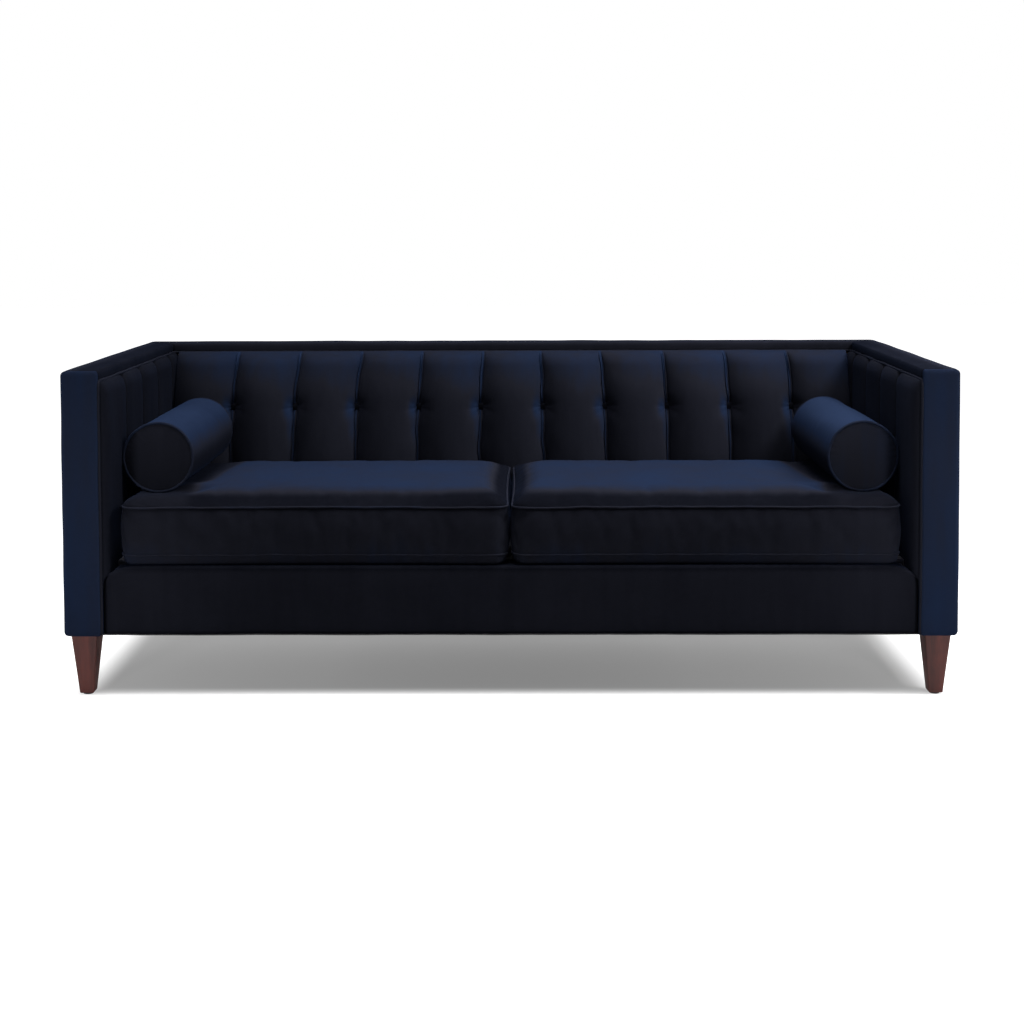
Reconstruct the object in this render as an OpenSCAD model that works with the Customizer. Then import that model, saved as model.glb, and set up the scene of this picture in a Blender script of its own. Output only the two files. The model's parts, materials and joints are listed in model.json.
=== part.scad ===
// Tuxedo sofa: tight channelled back and arms at one height, two loose box
// cushions, two bolsters and four tapered legs on a sprung wooden frame.
// The floor is z = 0, the origin lies under the middle and the front faces -Y.

/* [Overall] */
// Width over both arms
sofa_w = 2134; // [1800:1:2600]
// Depth from the arm fronts to the outside back
sofa_d = 864; // [780:1:1000]
// Height of the arms and the back above the floor
sofa_h = 787; // [740:1:900]
// Height of the upholstered underside above the floor
clear_h = 150; // [110:1:180]
// Thickness of each arm without its inside pad
arm_t = 89; // [84:1:120]
// Thickness of the back without its inside pad
back_t = 89; // [84:1:120]

/* [Covers] */
// Velvet with its wadding on the outside faces
skin_t = 5; // [3:0.5:7]
// Webbing and liners between the boards and the pads
liner_t = 3; // [2:0.5:4]
// Padding on the arm fronts and on the front rail
front_pad_t = 12; // [8:1:16]
// Padding on top of the arms and the back
top_pad_t = 18; // [14:1:24]
// Depth by which the top covers turn down over the liners
lip_h = 5; // [3:1:10]
// Rounding of the cover's long outer edges
edge_r = 8; // [4:1:11]
// Layer under the boards that holds leg plates and turned-in covers
base_t = 2; // [1.5:0.5:3]
// Thickness of the dust cover
dust_t = 1.5; // [1:0.5:1.5]

/* [Frame] */
// Thickness of the frame boards
board_t = 28; // [22:1:30]
// Height of the seat rails
rail_h = 106; // [90:1:115]
// Thickness of the arm and back top boards
top_board_t = 25; // [18:1:30]
// Thickness of the tack rails and the back uprights
slat_t = 22; // [16:1:26]
// Height of the tack rails
tack_h = 40; // [30:1:60]
// Gap above the seat rails where the inside covers are pulled through
pull_gap = 42; // [30:1:60]
// Width of the back uprights
upright_w = 50; // [40:1:70]
// Number of back uprights
uprights = 3; // [2:1:5]
// Height of the seat stretchers
stretcher_h = 60; // [40:1:80]
// Number of seat stretchers
stretchers = 3; // [2:1:4]
// Length of the corner blocks along the sides
block_l = 72; // [66:1:110]
// Height of the corner blocks
block_h = 56; // [45:1:80]
// Width of one back webbing strap
strap_w = 50; // [40:1:60]
// Number of back webbing straps
straps = 11; // [7:1:13]

/* [Springs] */
// Diameter of the spring wire
wire_d = 3.8; // [3:0.1:4.5]
// Number of sinuous springs under each seat
springs = 6; // [4:1:7]
// Width of one sinuous spring
spring_w = 58; // [50:1:70]
// Number of loops along one spring
spring_loops = 20; // [16:2:26]
// Rise of the sprung arc in its middle
spring_rise = 18; // [10:1:24]
// Thickness of the clip strip
clip_t = 1.2; // [1:0.1:1.6]
// Width of one clip
clip_w = 20; // [14:1:22]
// Thickness of the felt on the springs
felt_t = 5; // [3:1:8]

/* [Front border] */
// Distance of the border's face behind the arm fronts
border_setback = 20; // [14:1:30]
// Height of the front border
border_h = 164; // [156:1:190]
// Depth of the padded roll along the seat edge
roll_d = 72; // [66:1:90]
// Rounding of the border's upper front edge
border_edge_r = 8; // [5:1:12]
// Width of the rounding of the border's upper end corners
border_corner_w = 84; // [40:1:100]
// Height of the rounding of the border's upper end corners
border_corner_h = 42; // [30:1:60]

/* [Inside pads] */
// How far the arm pads stand into the seat
arm_pad_t = 18; // [16:1:30]
// Depth of the arm pad seams below the crests
arm_seam_sink = 10; // [6:1:14]
// Spacing of the arm channels
arm_channel_w = 163; // [140:1:200]
// Distance of the first arm seam from the back end of the pad
arm_first_seam = 84; // [60:1:110]
// Number of channels across the back
back_channels = 11; // [7:1:13]
// How far the back seams stand into the seat at the top
back_seam_top = 26; // [18:1:40]
// How far the back seams stand into the seat at the bottom
back_seam_foot = 110; // [90:1:120]
// How far the channels swell beyond the seams
channel_swell = 30; // [15:1:34]
// Depth of the tuft dimple at each button
tuft_sink = 14; // [6:1:20]
// Height of the rolled upper edge of the pads
pad_roll = 26; // [16:1:40]
// Height of the back buttons below the top of the back
button_drop = 176; // [140:1:220]
// Diameter of a back button
button_d = 18; // [12:1:24]
// Thickness of a back button
button_t = 8; // [6:1:10]

/* [Seat cushions] */
// Height of the cushion boxing between its welts
boxing_h = 115; // [90:1:130]
// Rise of the top panel above the upper welt
crown_h = 37; // [15:1:40]
// Drop of the under panel below the lower welt
belly_h = 25; // [15:1:35]
// Rounding of the cushion corners in plan
cushion_corner_r = 26; // [15:1:45]
// How far the sides draw in between the corners
draw_in = 5; // [2:1:10]
// Distance of the cushion front behind the border's face
cushion_setback = 4; // [0:1:25]
// Gap between a cushion and the arm pad
cushion_side_gap = 19; // [12:1:40]
// Gap between the two cushions
cushion_mid_gap = 4; // [3:1:10]
// Gap between a cushion and the back pad
cushion_back_gap = 4; // [2:1:15]
// Radius of the cushion welts
welt_r = 3; // [2:0.5:4]
// Thickness of cover and fibre wrap round the foam block
wrap_t = 16; // [12:1:24]
// Length of the zip at the back of a cushion
zip_l = 640; // [400:10:700]
// Width of the zip tape
zip_w = 26; // [20:1:34]
// Thickness of the zip tape
zip_t = 1.6; // [1.2:0.1:2.5]

/* [Bolsters] */
// Diameter of a bolster
bolster_d = 175; // [150:1:190]
// Length of a bolster between its end welts
bolster_l = 490; // [400:1:520]
// Gap between a bolster and the arm pad
bolster_side_gap = 1.5; // [1:0.5:6]
// Gap between a bolster and the back pad
bolster_back_gap = 3; // [1:0.5:20]
// How deep a bolster presses into its cushion
bolster_sink = 15; // [0:1:16]
// Swell of the bolster's end panels
bolster_cap = 7; // [4:1:12]
// Thickness of the bolster cover
bolster_cover_t = 4; // [3:0.5:8]

/* [Legs] */
// Width of a leg at its top
leg_top_w = 62; // [50:1:66]
// Width of a leg at its foot
leg_foot_w = 33; // [24:1:48]
// Distance of a leg from the arm's outside face
leg_inset_x = 13; // [11:1:16]
// Distance of a leg from the front or back face
leg_inset_y = 15; // [15:1:18]
// Diameter of a glide
glide_d = 24; // [16:1:24]
// Thickness of a glide
glide_t = 4; // [2:1:8]
// Diameter of a glide's nail
nail_d = 3; // [2:0.5:4]
// Length of a glide's nail
nail_l = 18; // [10:1:25]
// Diameter of a hanger bolt
bolt_d = 8; // [6:1:10]
// Length of a hanger bolt in the leg
bolt_in_leg = 40; // [25:1:50]
// Length of a hanger bolt above the leg
bolt_in_frame = 34; // [25:1:40]
// Width of a leg plate
plate_w = 60; // [56:1:60]
// Diameter of a plate screw
screw_d = 4; // [3:0.5:5]
// Length of a plate screw
screw_l = 24; // [16:1:30]
// Distance of a plate screw from the plate's edge
screw_edge = 9; // [7:1:11]

/* [Hidden] */
$fn = 48;
fit = 0.15;
soft_gap = 0.4;
over = 4;
bend_lap = 0.4;
bend_thinning = 0.05;
velvet = [0.10, 0.13, 0.24];
velvet_dark = [0.07, 0.09, 0.17];
stain = [0.36, 0.18, 0.14];
pine = [0.82, 0.68, 0.47];
steel = [0.62, 0.64, 0.66];
foam = [0.93, 0.88, 0.70];
cloth_black = [0.10, 0.10, 0.11];

// Shares of the tufted pads' curves, chosen by hand
rake_share = 2.2;
end_channel_share = 0.947;
column_shares = [0, 0.06, 0.22, 0.5, 0.78, 0.94];
roll_row_shares = [0, 0.12, 0.4, 0.9];
tuft_spread_share = 0.2;

// Shares of the cushion's crown, from the middle to the welt
crown_shares = [0.3, 0.6, 0.78, 0.88, 0.95, 0.985];
crown_power_share = 8;
crown_rear_power_share = 2.5;
crown_round_share = 0.6;
welt_stand_share = 0.4;

// Planes across the sofa, from the outside face to the pads
x_out = sofa_w / 2;
x_board_out = x_out - skin_t;
x_band = x_out - arm_t;
x_pad_back = x_band + skin_t;
x_board_in = x_pad_back + liner_t;
x_pad = x_band - arm_pad_t;

// Planes from the front to the back
y_front = -sofa_d / 2;
y_post = y_front + front_pad_t;
y_border = y_front + border_setback;
y_rail = y_border + front_pad_t;
y_rail_in = y_rail + board_t;
y_back = sofa_d / 2;
y_board_out = y_back - skin_t;
y_band = y_back - back_t;
y_pad_back = y_band + skin_t;
y_board_in = y_pad_back + liner_t;
y_seat_rail = y_pad_back - board_t;
y_pad_foot = y_band - back_seam_foot - channel_swell;

// Levels from the floor upwards
frame_z = clear_h + base_t;
rail_z = frame_z + rail_h;
tack_z = rail_z + pull_gap;
deck_z = clear_h + border_h;
top_board_z = sofa_h - top_pad_t;
post_z = top_board_z - top_board_t;
lip_z = top_board_z - lip_h;
button_z = sofa_h - button_drop;

// Springs: end bars lie in clips on the rails, the rest on an arc
wire_r = wire_d / 2;
spring_end_z = rail_z + clip_t + fit + wire_r;
spring_span = y_seat_rail - y_rail;
spring_arc_r = (pow(spring_span / 2, 2) + pow(spring_rise, 2)) / (2 * spring_rise);
spring_arc_angle = 2 * asin(spring_span / 2 / spring_arc_r);
spring_loop_angle = spring_arc_angle / spring_loops;
spring_pitch = 2 * spring_arc_r * sin(spring_loop_angle / 2);
spring_mid_y = (y_rail + y_seat_rail) / 2 + board_t / 2;
spring_centre_z = spring_end_z + spring_rise - spring_arc_r;
spring_top_z = spring_end_z + spring_rise + wire_r;
spring_spacing = x_pad / springs;
felt_z = spring_top_z + fit;
deck_foot_z = felt_z + felt_t;

// Depth of the back pad's crests in front of the band at a level
function rake(fall) = 1 - pow(1 - fall, rake_share);
function seam_depth(z) = let (fall = (lip_z - z) / (lip_z - deck_z))
    back_seam_top + (back_seam_foot - back_seam_top) * rake(min(1, fall));
function crest_depth(z) = seam_depth(z) + channel_swell;

// Share of the cushion's crown at a place given as shares of its half width and depth:
// steep at the sides and the front, and sloping gently to the back
function fall_off(share, power) = pow(1 - pow(min(1, abs(share)), power), crown_round_share);
function crown(across, along) = fall_off(across, crown_power_share)
    * fall_off(along, along < 0 ? crown_power_share : crown_rear_power_share);

// Section of the cushion's top rings over its outer half, at a share of its half depth
function crown_line(along) = [for (s = crown_shares) let (
    side = s * (cushion_hy - cushion_corner_r),
    sag = s * draw_in * max(0, 1 - pow(along * cushion_hy / side, 2)),
    x = s * cushion_hx - sag
) [cushion_cx + x, welt_high_z + crown_h * crown(x / cushion_hx, along)]];

// Height of a round roll of radius r whose middle is at x and which rests on a line of points
function rest_height(line, x, r) = max(concat(
    [for (p = line) if (abs(p[0] - x) < r) p[1] + sqrt(r * r - pow(p[0] - x, 2))],
    [for (k = [0:len(line) - 2]) let (
        a = line[k],
        b = line[k + 1],
        slope = (b[1] - a[1]) / (b[0] - a[0]),
        touch = x + r * slope / sqrt(1 + slope * slope)
    ) if (touch > a[0] && touch < b[0]) a[1] + (x - a[0]) * slope + r * sqrt(1 + slope * slope)]
));

// Cushion and bolster places
cushion_x0 = cushion_mid_gap / 2;
cushion_x1 = x_pad - cushion_side_gap;
cushion_y0 = y_border + cushion_setback;
cushion_y1 = y_pad_foot - cushion_back_gap;
cushion_cx = (cushion_x0 + cushion_x1) / 2;
cushion_cy = (cushion_y0 + cushion_y1) / 2;
cushion_hx = (cushion_x1 - cushion_x0) / 2 - welt_r;
cushion_hy = (cushion_y1 - cushion_y0) / 2 - welt_r;
cushion_z = deck_z + soft_gap;
welt_low_z = cushion_z + belly_h;
welt_high_z = welt_low_z + boxing_h;
bolster_r = bolster_d / 2;
bolster_reach = bolster_r + welt_r * welt_stand_share;
bolster_x = x_pad - bolster_side_gap - bolster_reach;
bolster_y1 = y_band - crest_depth(welt_high_z) - bolster_back_gap - bolster_cap;
bolster_y0 = bolster_y1 - bolster_l;
bolster_cy = (bolster_y0 + bolster_y1) / 2;
bolster_front_share = max(-1, (bolster_y0 - cushion_cy) / cushion_hy);
bolster_z = soft_gap - bolster_sink + max(concat(
    [for (k = [0:5]) rest_height(crown_line(k / 5 * bolster_front_share), bolster_x, bolster_r)],
    [rest_height(crown_line(bolster_front_share), bolster_x, bolster_reach)]
));

// Leg places
leg_x = x_out - leg_inset_x - leg_top_w / 2;
leg_y = y_back - leg_inset_y - leg_top_w / 2;
leg_h = clear_h - glide_t;

// A box between two corners
module block(low, high) {
    translate(low) cube(high - low);
}

// The same piece on both sides of the sofa
module both_sides() {
    children();
    mirror([1, 0, 0]) children();
}

module at_side(side) {
    mirror([side < 0 ? 1 : 0, 0, 0]) children();
}

// A rectangle whose corners are rounded one by one, from low left round to top left
module rounded_rect(low, high, radii) {
    corners = [low, [high[0], low[1]], high, [low[0], high[1]]];
    difference() {
        translate(low) square(high - low);
        for (k = [0:3]) {
            turn = 90 * k;
            if (radii[k] > 0) translate(corners[k]) rotate(turn) difference() {
                translate([-over, -over]) square(radii[k] + over);
                translate([radii[k], radii[k]]) circle(radii[k]);
            }
        }
    }
}

// An outline in the X-Z plane given depth from y0 to y1
module facing(y0, y1) {
    translate([0, y1, 0]) rotate([90, 0, 0]) linear_extrude(y1 - y0) children();
}

// An outline in the Y-Z plane given length from x0 to x1
module across(x0, x1) {
    translate([x0, 0, 0]) rotate([90, 0, 90]) linear_extrude(x1 - x0) children();
}

// A closed pad over a grid: columns along X, rows up Z, each grid point standing
// forward of the flat back by its own depth
module grid_pad(columns, rows, depths) {
    m = len(rows);
    n = len(columns);
    rim = concat(
        [for (i = [0:n - 1]) [i, 0]],
        [for (j = [1:m - 1]) [n - 1, j]],
        [for (i = [n - 2:-1:0]) [i, m - 1]],
        [for (j = [m - 2:-1:1]) [0, j]]
    );
    count = len(rim);
    face_points = [for (i = [0:n - 1]) for (j = [0:m - 1]) [columns[i], -depths[i][j], rows[j]]];
    rim_points = [for (p = rim) [columns[p[0]], 0, rows[p[1]]]];
    middle = [(columns[0] + columns[n - 1]) / 2, 0, (rows[0] + rows[m - 1]) / 2];
    first = n * m;
    faces = concat(
        [for (i = [0:n - 2]) for (j = [0:m - 2]) [i * m + j, i * m + j + 1, (i + 1) * m + j + 1]],
        [for (i = [0:n - 2]) for (j = [0:m - 2]) [i * m + j, (i + 1) * m + j + 1, (i + 1) * m + j]],
        [for (k = [0:count - 1]) let (a = rim[k], b = rim[(k + 1) % count])
            [a[0] * m + a[1], b[0] * m + b[1], first + (k + 1) % count]],
        [for (k = [0:count - 1]) let (a = rim[k])
            [a[0] * m + a[1], first + (k + 1) % count, first + k]],
        [for (k = [0:count - 1]) [first + k, first + (k + 1) % count, first + count]]
    );
    polyhedron(concat(face_points, rim_points, [middle]), faces, convexity = 10);
}

// Rounded swell of a channel: 0 at its seams, 1 in its middle
function swell(share) = pow(1 - pow(abs(2 * share - 1), 2.4), 0.7);

// Quarter-round roll: 0 at the edge, 1 from the given distance inwards
function roll(distance, reach) =
    distance >= reach ? 1 : sqrt(1 - pow(1 - distance / reach, 2));

// Columns of a channelled pad: each channel between two seams is split by the same shares
function channel_columns(seams) = concat(
    [for (k = [0:len(seams) - 2]) for (s = column_shares) seams[k] + s * (seams[k + 1] - seams[k])],
    [seams[len(seams) - 1]]
);
function channel_swells(seams) = concat(
    [for (k = [0:len(seams) - 2]) for (s = column_shares) swell(s)],
    [0]
);

// Wooden frame

module front_rail() {
    color(pine) block([-x_board_in, y_rail, frame_z], [x_board_in, y_rail_in, rail_z]);
}

module seat_rear_rail() {
    color(pine) block([-x_board_in, y_seat_rail, frame_z], [x_board_in, y_pad_back, rail_z]);
}

module back_bottom_rail() {
    color(pine) block([-x_board_in, y_board_out - board_t, frame_z], [x_board_in, y_board_out, rail_z]);
}

module side_rail(side) {
    color(pine) at_side(side) difference() {
        block([x_board_in, y_post + board_t, frame_z], [x_board_in + board_t, y_board_out - board_t, rail_z]);
        leg_fixings(fit);
    }
}

module seat_stretchers() {
    pitch = 2 * x_board_in / (stretchers + 1);
    color(pine) for (k = [1:stretchers]) {
        x = k * pitch - x_board_in;
        block([x - board_t / 2, y_rail_in, frame_z], [x + board_t / 2, y_seat_rail, frame_z + stretcher_h]);
    }
}

// Blocks glued between the side rails, posts and covers over each leg
module corner_blocks() {
    block_x = x_board_in + board_t;
    bevel = x_board_out - block_x;
    color(pine) both_sides() for (end = [-1, 1]) {
        y_end = end < 0 ? y_post + board_t : y_board_out - board_t;
        difference() {
            translate([0, 0, frame_z]) linear_extrude(block_h) polygon([
                [block_x, y_end],
                [x_board_out, y_end],
                [x_board_out, y_end - end * (block_l - bevel / 2)],
                [x_board_out - bevel / 2, y_end - end * block_l],
                [block_x, y_end - end * block_l]
            ]);
            leg_fixings(fit);
        }
    }
}

module arm_post(side) {
    color(pine) at_side(side) difference() {
        block([x_board_in, y_post, frame_z], [x_board_out, y_post + board_t, post_z]);
        leg_fixings(fit);
    }
}

module rear_post(side) {
    color(pine) at_side(side) difference() {
        block([x_board_in, y_board_out - board_t, frame_z], [x_board_out, y_board_out, post_z]);
        leg_fixings(fit);
    }
}

module arm_top_board(side) {
    color(pine) at_side(side)
        block([x_board_in, y_post, post_z], [x_board_out, y_board_out, top_board_z]);
}

module arm_tack_rails() {
    color(pine) both_sides() block(
        [x_board_in, y_post + board_t, tack_z],
        [x_board_in + slat_t, y_board_out - board_t, tack_z + tack_h]
    );
}

module back_top_board() {
    color(pine) block([-x_board_in, y_board_in, post_z], [x_board_in, y_board_out, top_board_z]);
}

module back_tack_rail() {
    color(pine) block([-x_board_in, y_board_in, tack_z], [x_board_in, y_board_in + slat_t, tack_z + tack_h]);
}

module back_uprights() {
    pitch = 2 * x_board_in / (uprights + 1);
    color(pine) for (k = [1:uprights]) {
        x = k * pitch - x_board_in;
        block([x - upright_w / 2, y_board_out - slat_t, rail_z], [x + upright_w / 2, y_board_out, post_z]);
    }
}

// Suspension

// One bar of a spring lies across it, and half-round loops join the bars at
// alternate ends, each in the plane of its two bars
// The wire is a little thinner round its loops, and each bar laps into them
module sinuous_spring() {
    straight = spring_w - wire_d - spring_pitch;
    bar = straight + 2 * bend_lap;
    bend_d = wire_d - 2 * bend_thinning;
    for (k = [0:spring_loops]) {
        angle = k * spring_loop_angle - spring_arc_angle / 2;
        translate([0, spring_mid_y + spring_arc_r * sin(angle), spring_centre_z + spring_arc_r * cos(angle)])
            rotate([0, 90, 0]) cylinder(h = bar, d = wire_d, center = true, $fn = 24);
    }
    for (k = [0:spring_loops - 1]) {
        angle = (k + 0.5) * spring_loop_angle - spring_arc_angle / 2;
        reach = spring_arc_r * cos(spring_loop_angle / 2);
        end = k % 2 == 0 ? 1 : -1;
        translate([end * straight / 2, spring_mid_y + reach * sin(angle), spring_centre_z + reach * cos(angle)])
            rotate([-angle, 0, 0]) rotate(-90 * end) rotate_extrude(angle = 180)
                translate([spring_pitch / 2, 0]) circle(d = bend_d, $fn = 24);
    }
}

module on_each_spring() {
    for (k = [0:springs - 1]) translate([(k + 0.5) * spring_spacing, 0, 0]) children();
}

module seat_springs(side) {
    color(steel) at_side(side) on_each_spring() sinuous_spring();
}

// A clip is a strip on the rail, curled over the spring's end bar
module spring_clip() {
    inner = wire_r + fit;
    outer = inner + clip_t;
    across(-clip_w / 2, clip_w / 2) difference() {
        union() {
            circle(outer);
            translate([-outer, -outer]) square([3 * outer, clip_t]);
            translate([-outer, -outer]) square([outer, outer]);
        }
        circle(inner);
        translate([0, clip_t - outer]) square([3 * outer, outer]);
    }
}

module spring_clips() {
    color(steel) both_sides() on_each_spring() {
        translate([0, y_rail + board_t / 2, spring_end_z]) mirror([0, 1, 0]) spring_clip();
        translate([0, y_seat_rail + board_t / 2, spring_end_z]) spring_clip();
    }
}

module spring_felt() {
    color("dimgray") block(
        [-x_pad + soft_gap, y_rail_in, felt_z],
        [x_pad - soft_gap, y_seat_rail, felt_z + felt_t]
    );
}

module back_webbing() {
    pitch = 2 * x_pad / straps;
    color("tan") for (k = [0:straps - 1]) {
        x = (k - (straps - 1) / 2) * pitch;
        block([x - strap_w / 2, y_pad_back, tack_z], [x + strap_w / 2, y_board_in, lip_z]);
    }
}

module arm_liners() {
    color("tan") both_sides()
        block([x_pad_back, y_post, tack_z], [x_board_in, y_pad_back, lip_z]);
}

// Fixed upholstery

module seat_deck() {
    color(velvet_dark) block(
        [-x_pad + soft_gap, y_border + roll_d, deck_foot_z],
        [x_pad - soft_gap, y_pad_foot - soft_gap, deck_z]
    );
}

// Front view of the border, grown all round its upper edge by the given gap
module border_outline(gap) {
    half = x_band + gap;
    top = deck_z + gap;
    w = border_corner_w + gap;
    h = border_corner_h + gap;
    difference() {
        translate([-half, clear_h]) square([2 * half, top - clear_h]);
        for (end = [0, 1]) mirror([end, 0]) translate([half - w, top - h]) difference() {
            square([w + over, h + over]);
            scale([w / h, 1]) circle(h);
        }
    }
}

// The border pads the rail's face, turns in below it and rolls over the seat edge
module front_border() {
    color(velvet) intersection() {
        across(-x_band, x_band) difference() {
            rounded_rect(
                [y_border, clear_h], [y_border + roll_d, deck_z],
                [0, 0, 0, border_edge_r]
            );
            translate([y_rail, frame_z]) square([roll_d, rail_z - frame_z]);
            translate([y_rail_in, clear_h - over]) square([roll_d, rail_z - clear_h + over]);
            translate([y_rail + front_pad_t / 2, rail_z - over]) square([roll_d, deck_foot_z - rail_z + over]);
        }
        facing(y_border - over, y_border + roll_d + over) border_outline(0);
    }
}

// The arm's channels run up the pad; its front and upper edges roll in to the covers
module arm_pad(side) {
    back_end = y_pad_back - soft_gap;
    front_end = y_post;
    length = back_end - front_end;
    foot = rail_z + soft_gap;
    channels = floor((length - arm_first_seam) / arm_channel_w);
    seams = concat(
        [0], [for (k = [0:channels - 1]) arm_first_seam + k * arm_channel_w], [length]
    );
    columns = channel_columns(seams);
    swells = channel_swells(seams);
    rows = concat(
        [foot, deck_z, (deck_z + lip_z) / 2, (deck_z + 3 * lip_z) / 4],
        [for (k = [len(roll_row_shares) - 1:-1:0]) lip_z - roll_row_shares[k] * pad_roll]
    );
    depths = [for (i = [0:len(columns) - 1]) [for (z = rows) skin_t
        + (arm_pad_t - arm_seam_sink * (1 - swells[i])) * roll(lip_z - z, pad_roll)
            * roll(length - columns[i], pad_roll) * roll(columns[i] + pad_roll / 2, pad_roll)]];
    color(velvet) at_side(side) difference() {
        translate([x_pad_back, back_end, 0]) rotate(-90) grid_pad(columns, rows, depths);
        facing(y_front - over, y_border + roll_d + soft_gap) border_outline(soft_gap);
    }
}

// The front of an arm: a padded panel with rounded outer edges
module arm_front(side) {
    color(velvet) at_side(side) intersection() {
        facing(y_front, y_post) rounded_rect(
            [x_band, clear_h], [x_out, sofa_h],
            [0, edge_r, edge_r, edge_r / 2]
        );
        translate([0, 0, clear_h]) linear_extrude(sofa_h - clear_h) rounded_rect(
            [x_band, y_front], [x_out, y_post + over + edge_r],
            [edge_r / 2, edge_r, 0, 0]
        );
    }
}

module arm_outside(side) {
    color(velvet) at_side(side)
        block([x_board_out, y_post, clear_h], [x_out, y_board_out, top_board_z]);
}

// Cross section of a top pad: its lip turns down over the inside, which lies at 0
module top_pad_outline(width) {
    rounded_rect([0, top_board_z], [width, sofa_h], [0, 0, edge_r, edge_r]);
    translate([0, lip_z]) square([skin_t, lip_h + edge_r / 2]);
}

module arm_top_pad(side) {
    color(velvet) at_side(side) intersection() {
        facing(y_post, y_back) translate([x_band, 0]) top_pad_outline(arm_t);
        translate([0, 0, lip_z]) linear_extrude(sofa_h - lip_z) polygon([
            [x_band, y_post], [x_out, y_post], [x_out, y_back], [x_band, y_band]
        ]);
    }
}

module back_top_pad() {
    color(velvet) intersection() {
        across(-x_out, x_out) translate([y_band, 0]) top_pad_outline(back_t);
        translate([0, 0, lip_z]) linear_extrude(sofa_h - lip_z) polygon([
            [-x_out, y_back], [x_out, y_back], [x_band, y_band], [-x_band, y_band]
        ]);
    }
}

// Back channels: their seams stand into the seat on a raked curve, and the
// buttons pull each seam in
back_half = x_pad - soft_gap;
back_channel_w = 2 * back_half / (back_channels - 2 + 2 * end_channel_share);
back_foot_z = deck_foot_z + soft_gap;
back_seams = concat(
    [-back_half],
    [for (k = [1:back_channels - 1]) (k - back_channels / 2) * back_channel_w],
    [back_half]
);
function tuft(z) = exp(-pow((z - button_z) / (tuft_spread_share * back_channel_w), 2));
function back_depth(z, swelling) = skin_t + roll(lip_z - z, pad_roll)
    * (seam_depth(z) + channel_swell * swelling - tuft_sink * tuft(z) * (1 - swelling));

module back_pad() {
    columns = channel_columns(back_seams);
    swells = channel_swells(back_seams);
    side_z = back_channel_w * tuft_spread_share;
    rows = concat(
        [back_foot_z, deck_z, welt_high_z, button_z - 2 * side_z],
        [for (k = [-1:2]) button_z + k * side_z],
        [for (k = [len(roll_row_shares) - 1:-1:0]) lip_z - roll_row_shares[k] * pad_roll]
    );
    depths = [for (s = swells) [for (z = rows) back_depth(z, s)]];
    color(velvet) difference() {
        translate([0, y_pad_back, 0]) grid_pad(columns, rows, depths);
        on_each_tuft() cylinder(h = 2 * button_t, d = button_d + 2 * soft_gap);
    }
}

// A place on each tuft, with Z pointing out of the back towards the seat
module on_each_tuft() {
    for (k = [1:back_channels - 1])
        translate([back_seams[k], y_pad_back - back_depth(button_z, 0), button_z])
            rotate([90, 0, 0]) translate([0, 0, -button_t / 2]) children();
}

// A button is a shallow dome on a short rim
module back_buttons() {
    rim = button_t / 2;
    dome_h = button_t - rim;
    dome_r = (pow(button_d / 2, 2) + pow(dome_h, 2)) / (2 * dome_h);
    color(velvet_dark) on_each_tuft() translate([0, 0, soft_gap]) {
        intersection() {
            cylinder(h = button_t, d = button_d);
            translate([0, 0, button_t - dome_r]) sphere(dome_r);
        }
    }
}

module outside_back() {
    color(velvet) block([-x_out, y_board_out, clear_h], [x_out, y_back, top_board_z]);
}

module dust_cover() {
    color(cloth_black) difference() {
        union() {
            block([-x_board_out, y_rail_in, clear_h], [x_board_out, y_board_out, clear_h + dust_t]);
            both_sides() block([x_band, y_post, clear_h], [x_board_out, y_rail_in + over, clear_h + dust_t]);
        }
        on_each_leg() cube([plate_w + 2 * fit, plate_w + 2 * fit, 3 * base_t], center = true);
    }
}

// Legs

// A place at the top of each leg
module on_each_leg() {
    for (sx = [-1, 1]) for (sy = [-1, 1]) translate([sx * leg_x, sy * leg_y, clear_h]) children();
}

module plate_screw_places() {
    reach = plate_w / 2 - screw_edge;
    for (sx = [-1, 1]) for (sy = [-1, 1]) translate([sx * reach, sy * reach, 0]) children();
}

// Everything that passes from the legs into the boards, grown by the given gap
module leg_fixings(gap) {
    on_each_leg() {
        translate([0, 0, -over]) cylinder(h = bolt_in_frame + gap + over, d = bolt_d + 2 * gap);
        plate_screw_places() translate([0, 0, -over]) cylinder(h = screw_l + gap + over, d = screw_d + 2 * gap);
    }
}

// A square leg that tapers alike on all four sides
module leg(side, end) {
    foot_z = glide_t;
    taper = [
        [-leg_foot_w / 2, foot_z], [leg_foot_w / 2, foot_z],
        [leg_top_w / 2, clear_h], [-leg_top_w / 2, clear_h]
    ];
    color(stain) translate([side * leg_x, end * leg_y, 0]) difference() {
        intersection() {
            facing(-leg_top_w, leg_top_w) polygon(taper);
            across(-leg_top_w, leg_top_w) polygon(taper);
        }
        translate([0, 0, clear_h - bolt_in_leg - fit]) cylinder(h = bolt_in_leg + over, d = bolt_d + 2 * fit);
        translate([0, 0, foot_z - over]) cylinder(h = nail_l + fit + over, d = nail_d + 2 * fit);
    }
}

module leg_plates() {
    color(steel) on_each_leg() difference() {
        translate([-plate_w / 2, -plate_w / 2, 0]) cube([plate_w, plate_w, base_t]);
        translate([0, 0, -over]) cylinder(h = base_t + 2 * over, d = bolt_d + 2 * fit);
        plate_screw_places() {
            translate([0, 0, -over]) cylinder(h = base_t + 2 * over, d = screw_d + 2 * fit);
            translate([0, 0, -fit]) cylinder(h = base_t / 2 + 2 * fit, d = 2 * screw_d + 2 * fit);
        }
    }
}

module plate_screws() {
    color(steel) on_each_leg() plate_screw_places() {
        cylinder(h = screw_l, d = screw_d);
        cylinder(h = base_t / 2, d = 2 * screw_d);
    }
}

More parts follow.
